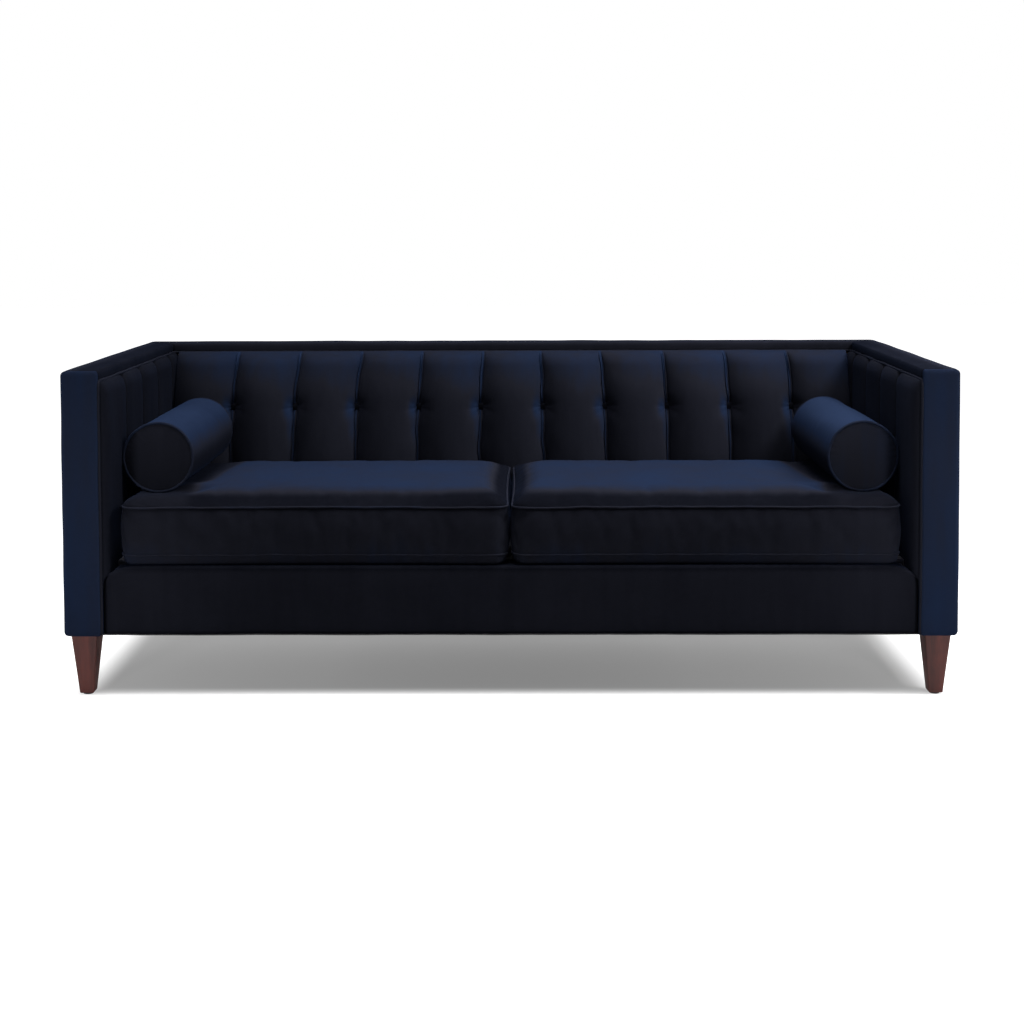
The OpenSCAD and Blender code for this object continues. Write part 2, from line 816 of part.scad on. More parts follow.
module hanger_bolts() {
    color(steel) on_each_leg() translate([0, 0, -bolt_in_leg])
        cylinder(h = bolt_in_leg + bolt_in_frame, d = bolt_d);
}

module leg_glides() {
    color(cloth_black) on_each_leg() translate([0, 0, -clear_h]) {
        cylinder(h = glide_t, d = glide_d);
        cylinder(h = glide_t + nail_l, d = nail_d);
    }
}

// Seat cushions

corner_steps = 4;
side_steps = 5;

// Plan outline of a cushion round its middle, anticlockwise, with rounded corners
// and sides that draw in between them
function cushion_outline(hx, hy, r, pull) = let (
    centres = [[hx - r, hy - r], [r - hx, hy - r], [r - hx, r - hy], [hx - r, r - hy]]
) [for (k = [0:3]) for (j = [0:corner_steps + side_steps - 1]) let (
    turn = 90 * k,
    next = centres[(k + 1) % 4],
    along = max(0, (j - corner_steps) / side_steps),
    angle = turn + 90 * min(1, j / corner_steps),
    start = centres[k] + (next - centres[k]) * along,
    sag = 4 * pull * along * (1 - along)
) start + (r - sag) * [cos(angle), sin(angle)]];

// Rings of the cushion from its under panel round the boxing to its crown:
// each has a share of the plan, an outward step, a level and a rise with the crown
function cushion_rings() = concat(
    [for (s = crown_shares)
        [s, 0, cushion_z + belly_h * (1 - fall_off(s, crown_power_share)), 0]],
    [for (z = [welt_low_z, welt_high_z]) for (step = [-1, 0, 1])
        [1, step == 0 ? welt_r : 0, z + step * welt_r, 0]],
    [for (k = [len(crown_shares) - 1:-1:0]) [crown_shares[k], 0, welt_high_z, crown_h]]
);

module cushion_form() {
    rings = cushion_rings();
    count = 4 * (corner_steps + side_steps);
    points = [for (ring = rings) let (s = ring[0], step = ring[1])
        for (p = cushion_outline(
            cushion_hx * s + step, cushion_hy * s + step, cushion_corner_r * s + step, draw_in * s
        )) [p[0], p[1], ring[2] + ring[3] * crown(p[0] / cushion_hx, p[1] / cushion_hy)]];
    last = len(rings) - 1;
    low = len(points);
    faces = concat(
        [for (k = [0:count - 1]) [low, k, (k + 1) % count]],
        [for (r = [0:last - 1]) for (k = [0:count - 1]) let (next = (k + 1) % count)
            [r * count + k, (r + 1) * count + k, (r + 1) * count + next]],
        [for (r = [0:last - 1]) for (k = [0:count - 1]) let (next = (k + 1) % count)
            [r * count + k, (r + 1) * count + next, r * count + next]],
        [for (k = [0:count - 1]) [low + 1, last * count + (k + 1) % count, last * count + k]]
    );
    middles = [[0, 0, cushion_z], [0, 0, welt_high_z + crown_h]];
    translate([cushion_cx, cushion_cy, 0]) polyhedron(concat(points, middles), faces, convexity = 6);
}

// The foam block fills the boxing, grown by the given gap for its hollow
module foam_block(gap) {
    half = [cushion_hx - wrap_t + gap, cushion_hy - wrap_t + gap];
    block(
        [cushion_cx - half[0], cushion_cy - half[1], welt_low_z - gap],
        [cushion_cx + half[0], cushion_cy + half[1], welt_high_z + gap]
    );
}

// The zip lies let into the middle of the cushion's back
module zip_strip(gap) {
    y = cushion_cy + cushion_hy - draw_in;
    z = (welt_low_z + welt_high_z) / 2;
    block(
        [cushion_cx - zip_l / 2 - gap, y - zip_t - gap, z - zip_w / 2 - gap],
        [cushion_cx + zip_l / 2 + gap, y, z + zip_w / 2 + gap]
    );
}

module seat_cushion(side) {
    color(velvet) at_side(side) difference() {
        cushion_form();
        foam_block(fit);
        zip_strip(fit);
        translate([0, draw_in, 0]) zip_strip(fit);
        at_bolster(1) rotate_extrude() bolster_section(2 * soft_gap);
    }
}

module seat_foam(side) {
    color(foam) at_side(side) foam_block(0);
}

module seat_zip(side) {
    color(cloth_black) at_side(side) zip_strip(0);
}

// Bolsters

module at_bolster(side) {
    translate([side * bolster_x, bolster_cy, bolster_z]) rotate([90, 0, 0]) children();
}

// Half section of a bolster: straight sides, swelling ends and a welt at each end,
// grown by the given gap for the hollow that it presses into its cushion
module bolster_section(gap) {
    r = bolster_r + gap;
    half = bolster_l / 2 + gap;
    cap_r = (pow(r, 2) + pow(bolster_cap, 2)) / (2 * bolster_cap);
    translate([0, -half]) square([r, 2 * half]);
    for (end = [0, 1]) mirror([0, end]) {
        translate([bolster_reach - welt_r, bolster_l / 2]) circle(welt_r + gap);
        intersection() {
            translate([0, half + bolster_cap - cap_r]) circle(cap_r, $fn = 180);
            translate([0, half - over]) square([r, bolster_cap + 2 * over]);
        }
    }
}

module bolster_core_form(gap) {
    r = bolster_r - bolster_cover_t + gap;
    h = bolster_l - 2 * bolster_cover_t + 2 * gap;
    cylinder(h = h, r = r, center = true);
}

module bolster(side) {
    color(velvet) at_bolster(side) difference() {
        rotate_extrude() bolster_section(0);
        bolster_core_form(0);
    }
}

module bolster_core(side) {
    color(foam) at_bolster(side) bolster_core_form(-fit);
}

front_rail();
seat_rear_rail();
back_bottom_rail();
side_rail(-1);  // side_rail_left
side_rail(1);  // side_rail_right
seat_stretchers();
corner_blocks();
arm_post(-1);  // arm_post_left
arm_post(1);  // arm_post_right
rear_post(-1);  // rear_post_left
rear_post(1);  // rear_post_right
arm_top_board(-1);  // arm_top_board_left
arm_top_board(1);  // arm_top_board_right
arm_tack_rails();
back_top_board();
back_tack_rail();
back_uprights();
seat_springs(-1);  // seat_springs_left
seat_springs(1);  // seat_springs_right
spring_clips();
spring_felt();
back_webbing();
arm_liners();
seat_deck();
front_border();
arm_pad(-1);  // arm_pad_left
arm_pad(1);  // arm_pad_right
arm_front(-1);  // arm_front_left
arm_front(1);  // arm_front_right
arm_outside(-1);  // arm_outside_left
arm_outside(1);  // arm_outside_right
arm_top_pad(-1);  // arm_top_pad_left
arm_top_pad(1);  // arm_top_pad_right
back_top_pad();
back_pad();
back_buttons();
outside_back();
dust_cover();
leg(-1, -1);  // leg_front_left
leg(1, -1);  // leg_front_right
leg(-1, 1);  // leg_rear_left
leg(1, 1);  // leg_rear_right
leg_plates();
plate_screws();
hanger_bolts();
leg_glides();
seat_cushion(-1);  // seat_cushion_left
seat_cushion(1);  // seat_cushion_right
seat_foam(-1);  // seat_foam_left
seat_foam(1);  // seat_foam_right
seat_zip(-1);  // seat_zip_left
seat_zip(1);  // seat_zip_right
bolster(-1);  // bolster_left
bolster(1);  // bolster_right
bolster_core(-1);  // bolster_core_left
bolster_core(1);  // bolster_core_right
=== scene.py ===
"""Navy velvet tuxedo sofa: upholstery, loose cushions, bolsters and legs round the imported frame.

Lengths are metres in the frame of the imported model: +X points right as seen from the front,
the front faces -Y and +Z points up.
"""

import json
import logging
import math
from collections.abc import Callable, Sequence
from dataclasses import dataclass
from enum import Enum

import bmesh
import bpy
import numpy as np
from mathutils import Matrix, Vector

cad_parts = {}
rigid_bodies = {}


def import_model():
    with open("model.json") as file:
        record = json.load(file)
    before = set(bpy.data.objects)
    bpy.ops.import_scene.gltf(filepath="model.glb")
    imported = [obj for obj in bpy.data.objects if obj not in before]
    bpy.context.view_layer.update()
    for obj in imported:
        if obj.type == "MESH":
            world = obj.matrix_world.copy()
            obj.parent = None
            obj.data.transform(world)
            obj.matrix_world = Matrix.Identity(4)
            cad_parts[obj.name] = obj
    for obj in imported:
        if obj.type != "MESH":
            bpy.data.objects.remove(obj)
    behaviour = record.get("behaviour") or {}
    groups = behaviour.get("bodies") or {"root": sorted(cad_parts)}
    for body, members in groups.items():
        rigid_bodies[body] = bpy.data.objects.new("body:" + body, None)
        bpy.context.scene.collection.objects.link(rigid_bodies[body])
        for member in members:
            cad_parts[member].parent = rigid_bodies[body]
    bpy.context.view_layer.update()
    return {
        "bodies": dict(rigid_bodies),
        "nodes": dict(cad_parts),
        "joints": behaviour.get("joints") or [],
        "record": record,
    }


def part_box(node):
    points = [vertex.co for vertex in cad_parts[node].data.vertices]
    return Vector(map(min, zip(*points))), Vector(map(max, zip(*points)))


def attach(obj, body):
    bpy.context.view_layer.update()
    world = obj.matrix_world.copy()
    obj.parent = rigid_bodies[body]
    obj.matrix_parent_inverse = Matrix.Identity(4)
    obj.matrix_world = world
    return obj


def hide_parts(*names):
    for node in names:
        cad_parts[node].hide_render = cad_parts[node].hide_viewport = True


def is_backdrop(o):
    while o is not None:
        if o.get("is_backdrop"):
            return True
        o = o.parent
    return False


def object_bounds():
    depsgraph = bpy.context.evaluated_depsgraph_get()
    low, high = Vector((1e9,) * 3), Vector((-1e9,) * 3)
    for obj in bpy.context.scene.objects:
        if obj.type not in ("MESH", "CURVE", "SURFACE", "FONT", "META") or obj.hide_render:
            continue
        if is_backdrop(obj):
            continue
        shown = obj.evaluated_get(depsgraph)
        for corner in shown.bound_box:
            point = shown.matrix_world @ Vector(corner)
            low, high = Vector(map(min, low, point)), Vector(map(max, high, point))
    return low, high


LOG = logging.getLogger("tuxedo_sofa")
Array = np.ndarray
Colour = tuple[float, float, float]
TINY = 1e-9
# Each velvet point stores the way its pile lies together with painted light and shade.
NAP_AND_PAINTED_LIGHT = "nap"
WHITE = (1.0, 1.0, 1.0, 1.0)
WAVE_PHASE = 20.0  # radians that a Wave texture turns in a metre at a scale of 1
MIX_INPUTS = (6, 7)  # the colour inputs of a Mix node
MIX_OUTPUT = 2  # and its colour output


class Side(Enum):
    """The two halves of the sofa, as seen from the front; the value is the sign of X."""

    LEFT = -1
    RIGHT = 1

    @property
    def label(self) -> str:
        """The word used in node and body names."""
        return self.name.lower()


class Slot(Enum):
    """Material slots of the record."""

    VELVET = "navy_velvet"
    DECK = "deck_cloth"
    LEG_WOOD = "stained_leg_wood"
    TIMBER = "frame_timber"
    STEEL = "plated_steel"
    PLASTIC = "glide_plastic"
    FELT = "grey_felt"
    JUTE = "jute_webbing"
    BOARD = "liner_board"
    CAMBRIC = "black_cambric"
    ZIP = "zip_tape"
    FOAM = "seat_foam"


# Shader graphs


class Value:
    """An output socket of a shader node, on which arithmetic adds Math nodes."""

    def __init__(self, graph: "Graph", socket: bpy.types.NodeSocket) -> None:
        """Wraps a socket of a graph."""
        self.graph = graph
        self.socket = socket

    def _maths(self, operation: str, first: "Value | float", second: "Value | float") -> "Value":
        """Adds one Math node.

        Args:
            operation: name of the Math node's operation.
            first: first operand.
            second: second operand.

        Returns:
            The node's result.
        """
        return self.graph.node("ShaderNodeMath", {"operation": operation}, {0: first, 1: second})

    def __add__(self, other: "Value | float") -> "Value":
        """Sum."""
        return self._maths("ADD", self, other)

    __radd__ = __add__

    def __sub__(self, other: "Value | float") -> "Value":
        """Difference."""
        return self._maths("SUBTRACT", self, other)

    def __rsub__(self, other: "Value | float") -> "Value":
        """Difference with the operands swapped."""
        return self._maths("SUBTRACT", other, self)

    def __mul__(self, other: "Value | float") -> "Value":
        """Product."""
        return self._maths("MULTIPLY", self, other)

    __rmul__ = __mul__

    def over(self, other: "Value | float") -> "Value":
        """The larger of two values."""
        return self._maths("MAXIMUM", self, other)

    def size(self) -> "Value":
        """The value without its sign."""
        return self._maths("ABSOLUTE", self, 0.0)


class Graph:
    """The node graph of a material or of the world."""

    def __init__(self, owner: bpy.types.Material | bpy.types.World) -> None:
        """Empties the owner's node tree.

        Args:
            owner: the material or the world that the graph belongs to.
        """
        owner.use_nodes = True
        self.owner = owner
        self.tree = owner.node_tree
        self.tree.nodes.clear()

    @classmethod
    def of_material(cls, name: str) -> "Graph":
        """The empty graph of a new material."""
        return cls(bpy.data.materials.new(name))

    def node(
        self,
        kind: str,
        settings: dict[str, object] | None = None,
        sockets: dict[int | str, object] | None = None,
        output: int | str = 0,
    ) -> Value:
        """Adds any node.

        Args:
            kind: the node's type name.
            settings: properties, which are set first.
            sockets: values or links of the input sockets, by index or name.
            output: index or name of the output wanted.

        Returns:
            The wanted output.
        """
        made = self.tree.nodes.new(kind)
        for key, value in (settings or {}).items():
            setattr(made, key, value)
        for key, value in (sockets or {}).items():
            if isinstance(value, Value):
                self.tree.links.new(value.socket, made.inputs[key])
            else:
                made.inputs[key].default_value = value
        return Value(self, made.outputs[output])

    def place(self, stretch: Sequence[float] = (1.0, 1.0, 1.0)) -> Value:
        """Object coordinates, multiplied by a stretch per axis."""
        where = self.node("ShaderNodeTexCoord", output="Object")
        return self.node("ShaderNodeMapping", None, {"Vector": where, "Scale": tuple(stretch)})

    def noise(
        self, scale: float, detail: float = 3.0, stretch: Sequence[float] = (1.0, 1.0, 1.0)
    ) -> Value:
        """Noise between 0 and 1 over Object coordinates.

        Args:
            scale: features per metre.
            detail: octaves.
            stretch: multiplies the coordinates, so that a small share draws the noise out.

        Returns:
            The noise as a value.
        """
        sockets = {"Vector": self.place(stretch), "Scale": scale, "Detail": detail}
        return self.node("ShaderNodeTexNoise", None, sockets)

    def mix(self, share: Value | float, first: Colour | Value, second: Colour | Value) -> Value:
        """Mixes two colours.

        Args:
            share: share of the second colour.
            first: first colour.
            second: second colour.

        Returns:
            The mixed colour.
        """
        ends = [end if isinstance(end, Value) else (*end, 1.0) for end in (first, second)]
        sockets = {0: share, **dict(zip(MIX_INPUTS, ends))}
        return self.node("ShaderNodeMix", {"data_type": "RGBA"}, sockets, MIX_OUTPUT)

    def bump(
        self, height: Value, distance: float, strength: float = 1.0, under: Value | None = None
    ) -> Value:
        """Turns a height into a normal.

        Args:
            height: the height as a share of the distance.
            distance: height in metres that a value of 1 stands for.
            strength: share of the effect.
            under: a normal on which this one lies.

        Returns:
            The normal.
        """
        sockets = {"Height": height, "Distance": distance, "Strength": strength}
        if under is not None:
            sockets["Normal"] = under
        return self.node("ShaderNodeBump", None, sockets)

    def surface(self, **sockets: object) -> bpy.types.Material:
        """Ends the graph in a Principled shader.

        Args:
            sockets: values or links of the shader's sockets, named with _ for a space.

        Returns:
            The finished material.
        """
        named = {key.replace("_", " "): value for key, value in sockets.items()}
        for key in ("Base Color", "Sheen Tint", "Coat Tint"):
            if isinstance(named.get(key), tuple):
                named[key] = (*named[key], 1.0)
        self.end(self.node("ShaderNodeBsdfPrincipled", None, named))
        return self.owner

    def end(self, shader: Value, kind: str = "ShaderNodeOutputMaterial") -> None:
        """Links a shader to the output node of the given type."""
        out = self.tree.nodes.new(kind)
        self.tree.links.new(shader.socket, out.inputs["Surface"])


@dataclass(frozen=True)
class Velvet:
    """Cotton velvet, whose colour follows the way in which the pile is brushed together with painted
    light and shade.

    A piece's value runs from -1 to 2: painted shade at -1, deep at 0, light at 1 and a painted
    highlight at 2.
    """

    name: str = "navy_velvet"
    # The darkest stop is painted shade and the brightest a painted highlight; deep and light are the
    # pile's tones, and light also gives lit tops their colour.
    shut: Colour = (0.0036, 0.0040, 0.0062)
    deep: Colour = (0.0115, 0.0123, 0.0180)
    light: Colour = (0.0088, 0.0150, 0.0350)
    brushed: Colour = (0.0135, 0.0225, 0.0500)
    sheen: Colour = (0.24, 0.42, 1.0)
    sheen_weight: float = 0.014
    sheen_roughness: float = 0.45
    specular: float = 0.0
    pile_per_metre: float = 620.0
    patches_per_metre: float = 5.0
    streaks_per_metre: float = 45.0
    patch_mottle: float = 1.15
    streak_mottle: float = 0.6
    pile_mottle: float = 0.3
    dark_mottle_share: float = 0.5
    streak_height: float = 0.0004
    pile_height: float = 0.0006

    def build(self) -> bpy.types.Material:
        """Adds patches, streaks and pile to the stored nap and painted light, which then mixes the four
        colours.

        Returns:
            The material.
        """
        graph = Graph.of_material(self.name)
        nap = graph.node("ShaderNodeAttribute", {"attribute_name": NAP_AND_PAINTED_LIGHT}, output="Fac")
        patches = graph.noise(self.patches_per_metre, 4.0, (1.0, 1.0, 0.55))
        streaks = graph.noise(self.streaks_per_metre, 2.0, (1.0, 1.0, 0.12))
        pile = graph.noise(self.pile_per_metre, 2.0)
        mottle = (patches - 0.5) * self.patch_mottle + (streaks - 0.5) * self.streak_mottle
        mottle = mottle + (pile - 0.5) * self.pile_mottle
        # Above 1 the value mixes in the painted highlight, and below 0 the painted shade.
        lit = graph.node("ShaderNodeClamp", None, {0: nap + mottle})
        painted_highlight_share = graph.node("ShaderNodeClamp", None, {0: nap + mottle - 1.0})
        dark = graph.node("ShaderNodeClamp", None, {0: (nap + mottle * self.dark_mottle_share) * -1.0})
        colour = graph.mix(lit, self.deep, self.light)
        colour = graph.mix(painted_highlight_share, colour, self.brushed)
        normal = graph.bump(streaks, self.streak_height, 0.5)
        normal = graph.bump(pile, self.pile_height, 0.55, normal)
        return graph.surface(
            Base_Color=graph.mix(dark, colour, self.shut),
            Roughness=patches * 0.12 + 0.84,
            Specular_IOR_Level=self.specular,
            Sheen_Weight=self.sheen_weight,
            Sheen_Roughness=self.sheen_roughness,
            Sheen_Tint=self.sheen,
            Normal=normal,
        )


@dataclass(frozen=True)
class Cloth:
    """A plain woven cloth."""

    name: str
    dark: Colour
    light: Colour
    weave_phase: float
    relief: float
    sheen_weight: float = 0.0

    def build(self) -> bpy.types.Material:
        """Three crossing sets of thread waves with a soft unevenness.

        Returns:
            The material.
        """
        graph = Graph.of_material(self.name)
        waves = [
            graph.node(
                "ShaderNodeTexWave",
                {"bands_direction": direction, "wave_profile": "SIN"},
                {"Vector": graph.place(), "Scale": self.weave_phase / WAVE_PHASE, "Distortion": 0.6},
                output="Fac",
            )
            for direction in ("X", "Y", "Z")
        ]
        weave = (waves[0] + waves[1] + waves[2]) * (1 / 3)
        uneven = graph.noise(40.0, 4.0)
        share = graph.node("ShaderNodeClamp", None, {0: weave * 0.6 + (uneven - 0.5) * 1.2 + 0.2})
        return graph.surface(
            Base_Color=graph.mix(share, self.dark, self.light),
            Roughness=uneven * 0.15 + 0.8,
            Specular_IOR_Level=0.2,
            Sheen_Weight=self.sheen_weight,
            Normal=graph.bump(weave, self.relief, 0.7),
        )


@dataclass(frozen=True)
class Wood:
    """Solid wood with its grain along one axis."""

    name: str
    dark: Colour
    light: Colour
    grain: tuple[float, float, float]
    gloss: float
    coat: float = 0.0

    def build(self) -> bpy.types.Material:
        """Drawn-out noise makes the grain and finer noise the pores, which stand in the bump.

        Returns:
            The material.
        """
        graph = Graph.of_material(self.name)
        figure = graph.noise(38.0, 5.0, self.grain)
        pores = graph.noise(420.0, 2.0, self.grain)
        cloud = graph.noise(9.0, 2.0)
        tone = (figure - 0.5) * 2.4 + (pores - 0.5) * 0.7 + (cloud - 0.5) * 0.6 + 0.5
        share = graph.node("ShaderNodeClamp", None, {0: tone})
        return graph.surface(
            Base_Color=graph.mix(share, self.dark, self.light),
            Roughness=pores * 0.18 + self.gloss,
            Coat_Weight=self.coat,
            Coat_Roughness=0.18,
            Normal=graph.bump(pores, 0.0003, 0.35),
        )


@dataclass(frozen=True)
class Metal:
    """Zinc-plated or spring steel."""

    name: str
    dark: Colour
    light: Colour
    roughness: float

    def build(self) -> bpy.types.Material:
        """A cloudy plating with fine scratches.

        Returns:
            The material.
        """
        graph = Graph.of_material(self.name)
        cloud = graph.noise(60.0, 4.0)
        scratch = graph.noise(500.0, 2.0, (1.0, 0.1, 1.0))
        return graph.surface(
            Base_Color=graph.mix(cloud, self.dark, self.light),
            Metallic=1.0,
            Roughness=(cloud - 0.5) * 0.3 + self.roughness,
            Normal=graph.bump(scratch, 0.0001, 0.3),
        )


@dataclass(frozen=True)
class Cellular:
    """Foam, felt or moulded plastic: fine cells or grain over a plain colour."""

    name: str
    dark: Colour
    light: Colour
    cells_per_metre: float
    relief: float
    roughness: float = 0.9

    def build(self) -> bpy.types.Material:
        """Cells of a Voronoi pattern over a cloudy colour.

        Returns:
            The material.
        """
        graph = Graph.of_material(self.name)
        cells = graph.node(
            "ShaderNodeTexVoronoi", None, {"Vector": graph.place(), "Scale": self.cells_per_metre}
        )
        cloud = graph.noise(25.0, 3.0)
        share = graph.node("ShaderNodeClamp", None, {0: cells * 0.6 + (cloud - 0.5) * 0.8 + 0.2})
        return graph.surface(
            Base_Color=graph.mix(share, self.dark, self.light),
            Roughness=cloud * 0.1 + self.roughness - 0.05,
            Normal=graph.bump(cells, self.relief, 0.5),
        )


FINISHES = {
    Slot.VELVET: Velvet(),
    Slot.DECK: Cloth("deck_cloth", (0.004, 0.005, 0.010), (0.012, 0.014, 0.028), 900.0, 0.0004, 0.2),
    Slot.LEG_WOOD: Wood(
        "stained_leg_wood",
        (0.036, 0.0047, 0.0030),
        (0.110, 0.0180, 0.0120),
        grain=(1.0, 1.0, 0.09),
        gloss=0.46,
        coat=0.04,
    ),
    Slot.TIMBER: Wood("frame_timber", (0.42, 0.26, 0.12), (0.68, 0.48, 0.27), (0.12, 0.12, 1.0), 0.62),
    Slot.STEEL: Metal("plated_steel", (0.36, 0.37, 0.40), (0.62, 0.63, 0.65), 0.36),
    Slot.PLASTIC: Cellular(
        "glide_plastic", (0.010, 0.010, 0.011), (0.030, 0.030, 0.032), 900.0, 0.0001, 0.55
    ),
    Slot.FELT: Cellular("grey_felt", (0.10, 0.10, 0.11), (0.30, 0.30, 0.31), 260.0, 0.0012),
    Slot.JUTE: Cloth("jute_webbing", (0.22, 0.15, 0.08), (0.50, 0.38, 0.23), 420.0, 0.0008),
    Slot.BOARD: Cellular("liner_board", (0.30, 0.21, 0.13), (0.46, 0.34, 0.22), 300.0, 0.0003),
    Slot.CAMBRIC: Cloth(
        "black_cambric", (0.005, 0.005, 0.006), (0.022, 0.022, 0.024), 1100.0, 0.0002, 0.1
    ),
    Slot.ZIP: Cloth("zip_tape", (0.006, 0.008, 0.016), (0.020, 0.024, 0.042), 1300.0, 0.0002, 0.1),
    Slot.FOAM: Cellular("seat_foam", (0.66, 0.56, 0.32), (0.88, 0.80, 0.55), 380.0, 0.0006),
}


# Surfaces


@dataclass
class Surface:
    """Points and faces of a mesh under construction."""

    points: Array
    faces: list[Array]

    def joined(self, *others: "Surface") -> "Surface":
        """Joins surfaces by renumbering the faces of each.

        Args:
            others: surfaces to add to this one.

        Returns:
            All of them as one.
        """
        parts = [self, *others]
        starts = np.cumsum([0, *(len(part.points) for part in parts[:-1])])
        return Surface(
            np.concatenate([part.points for part in parts]),
            [faces + start for part, start in zip(parts, starts) for faces in part.faces],
        )

    def mirrored(self, side: Side) -> "Surface":
        """The surface on the given side of the sofa, made for the right one."""
        return Surface(self.points * (side.value, 1.0, 1.0), self.faces)


def grid_quads(rows: int, columns: int, wrap_rows: bool = False, wrap_columns: bool = False) -> Array:
    """Quads of a grid whose point at (row, column) has the index row * columns + column.

    Args:
        rows: number of rows.
        columns: number of columns.
        wrap_rows: joins the last row to the first.
        wrap_columns: joins the last column to the first.

    Returns:
        One row of four indices for each quad.
    """
    row, column = np.meshgrid(
        np.arange(rows if wrap_rows else rows - 1),
        np.arange(columns if wrap_columns else columns - 1),
        indexing="ij",
    )
    next_row, next_column = (row + 1) % rows, (column + 1) % columns
    corners = [
        row * columns + column,
        row * columns + next_column,
        next_row * columns + next_column,
        next_row * columns + column,
    ]
    return np.stack(corners, axis=-1).reshape(-1, 4)


@dataclass
class BoxGrid:
    """The outside of a box as a grid of quads, with places along its three axes.

    shares holds each point's place along each axis from 0 to 1 by number, and index gives a
    point's number from its three steps, or -1 inside the box.
    """

    points: Array
    shares: Array
    quads: Array
    index: Array

    @classmethod
    def of(cls, xs: Array, ys: Array, zs: Array) -> "BoxGrid":
        """Builds the grid from the outer points of a block of points.

        Args:
            xs: places along X.
            ys: places along Y.
            zs: places along Z.

        Returns:
            The grid.
        """
        counts = (len(xs), len(ys), len(zs))
        steps = np.stack(np.meshgrid(*(np.arange(n) for n in counts), indexing="ij"), axis=-1)
        ends = np.array(counts) - 1
        outside = ((steps == 0) | (steps == ends)).any(axis=-1)
        index = np.full(counts, -1)
        index[outside] = np.arange(outside.sum())
        places = np.stack(np.meshgrid(xs, ys, zs, indexing="ij"), axis=-1)[outside]
        quads = []
        for axis in range(3):
            for end in (0, -1):
                face = np.take(index, end, axis=axis)
                around = [face[:-1, :-1], face[1:, :-1], face[1:, 1:], face[:-1, 1:]]
                outward = (end == -1) != (axis == 1)
                quads.append(np.stack(around if outward else around[::-1], axis=-1).reshape(-1, 4))
        return cls(places, steps[outside] / ends, np.concatenate(quads), index)

    def ring(self, level: int) -> Array:
        """Point numbers round the box's outline at a step along Z, anticlockwise from above."""
        layer = self.index[:, :, level]
        return np.concatenate([layer[:-1, 0], layer[-1, :-1], layer[:0:-1, -1], layer[0, :0:-1]])


def spaced(
    low: float, high: float, radii: tuple[float, float], step: float, arc_steps: int = 4
) -> Array:
    """Places along one side of a box that suit edges rounded by the given radii.

    Near an end the places are radius * tan(angle) at even angles up to 45 degrees, so that the
    rounded edge gets even steps, and the rest is split evenly.

    Args:
        low: lower end.
        high: upper end.
        radii: radius at the lower and at the upper end.
        step: spacing between the rounded ends.
        arc_steps: steps over each rounded end.

    Returns:
        The places in order.
    """
    arc = np.tan(np.linspace(0, math.pi / 4, arc_steps + 1))
    count = max(2, round((high - low - sum(radii)) / step) + 1)
    start, end = low + radii[0], high - radii[1]
    middle = np.linspace(start, end, count)
    places = [start - radii[0] * arc, middle, end + radii[1] * arc]
    return np.unique(np.round(np.concatenate(places), 7))


def rounded(points: Array, low: Array, high: Array, radii: Array) -> tuple[Array, Array]:
    """Rounds the edges of points on a box.

    Each point is pulled onto an ellipsoid round the nearest point of the box shrunk by the radii.

    Args:
        points: points on the box.
        low: lowest corner.
        high: highest corner.
        radii: radii at the low ends and at the high ends of the three axes, as two rows.

    Returns:
        The moved points and their outward directions.
    """
    inner = np.clip(points, low + radii[0], high - radii[1])
    away = points - inner
    reach = np.where(away < 0, radii[0], radii[1])
    unit = away / np.maximum(reach, TINY)
    unit /= np.maximum(np.linalg.norm(unit, axis=1, keepdims=True), TINY)
    return inner + unit * reach, unit


def ripple(points: Array, wavelength: float, seed: int, waves: int = 8) -> Array:
    """Smooth waviness: sines of random directions, lengths and phases, added up.

    Args:
        points: places at which it is wanted.
        wavelength: mean wavelength.
        seed: seed of the random numbers.
        waves: number of sines.

    Returns:
        Values of about -1 to 1.
    """
    rng = np.random.default_rng(seed)
    directions = rng.normal(size=(waves, 3))
    directions /= np.linalg.norm(directions, axis=1, keepdims=True)
    lengths = wavelength * rng.uniform(0.6, 1.7, size=waves)
    phases = rng.uniform(0, 2 * math.pi, size=waves)
    turns = points @ (directions / lengths[:, None]).T * 2 * math.pi
    return np.sin(turns + phases).sum(axis=-1) / math.sqrt(waves)


@dataclass(frozen=True)
class Waver:
    """A smooth unevenness: its height, its mean wavelength and its seed."""

    height: float
    length: float
    seed: int

    def at(self, points: Array, side: Side | None = None) -> Array:
        """The height times the ripple at each point, with another seed for each side."""
        return self.height * ripple(points, self.length, self.seed + (side.value if side else 0))


def bulge(share: Array, power: float = 3.0) -> Array:
    """0 at both ends of a side and 1 in its middle: 1 - |2 share - 1| ^ power."""
    return 1 - np.abs(2 * share - 1) ** power


def eased(value: Array) -> Array:
    """Smooth step from 0 to 1."""
    share = np.clip(value, 0, 1)
    return share * share * (3 - 2 * share)


def bell(distance: Array, width: float) -> Array:
    """Bell curve: e ^ -(distance / width)^2."""
    return np.exp(-((distance / width) ** 2))


@dataclass(frozen=True)
class Swell:
    """How far one face of a panel swells: the face's axis, its end (-1 or 1) and the height."""

    axis: int
    end: int
    height: float


@dataclass(frozen=True)
class Seam:
    """A seam at one end of a panel: the axis that it closes and its end (-1 or 1)."""

    axis: int
    end: int
    depth: float = 0.0014
    width: float = 0.0028


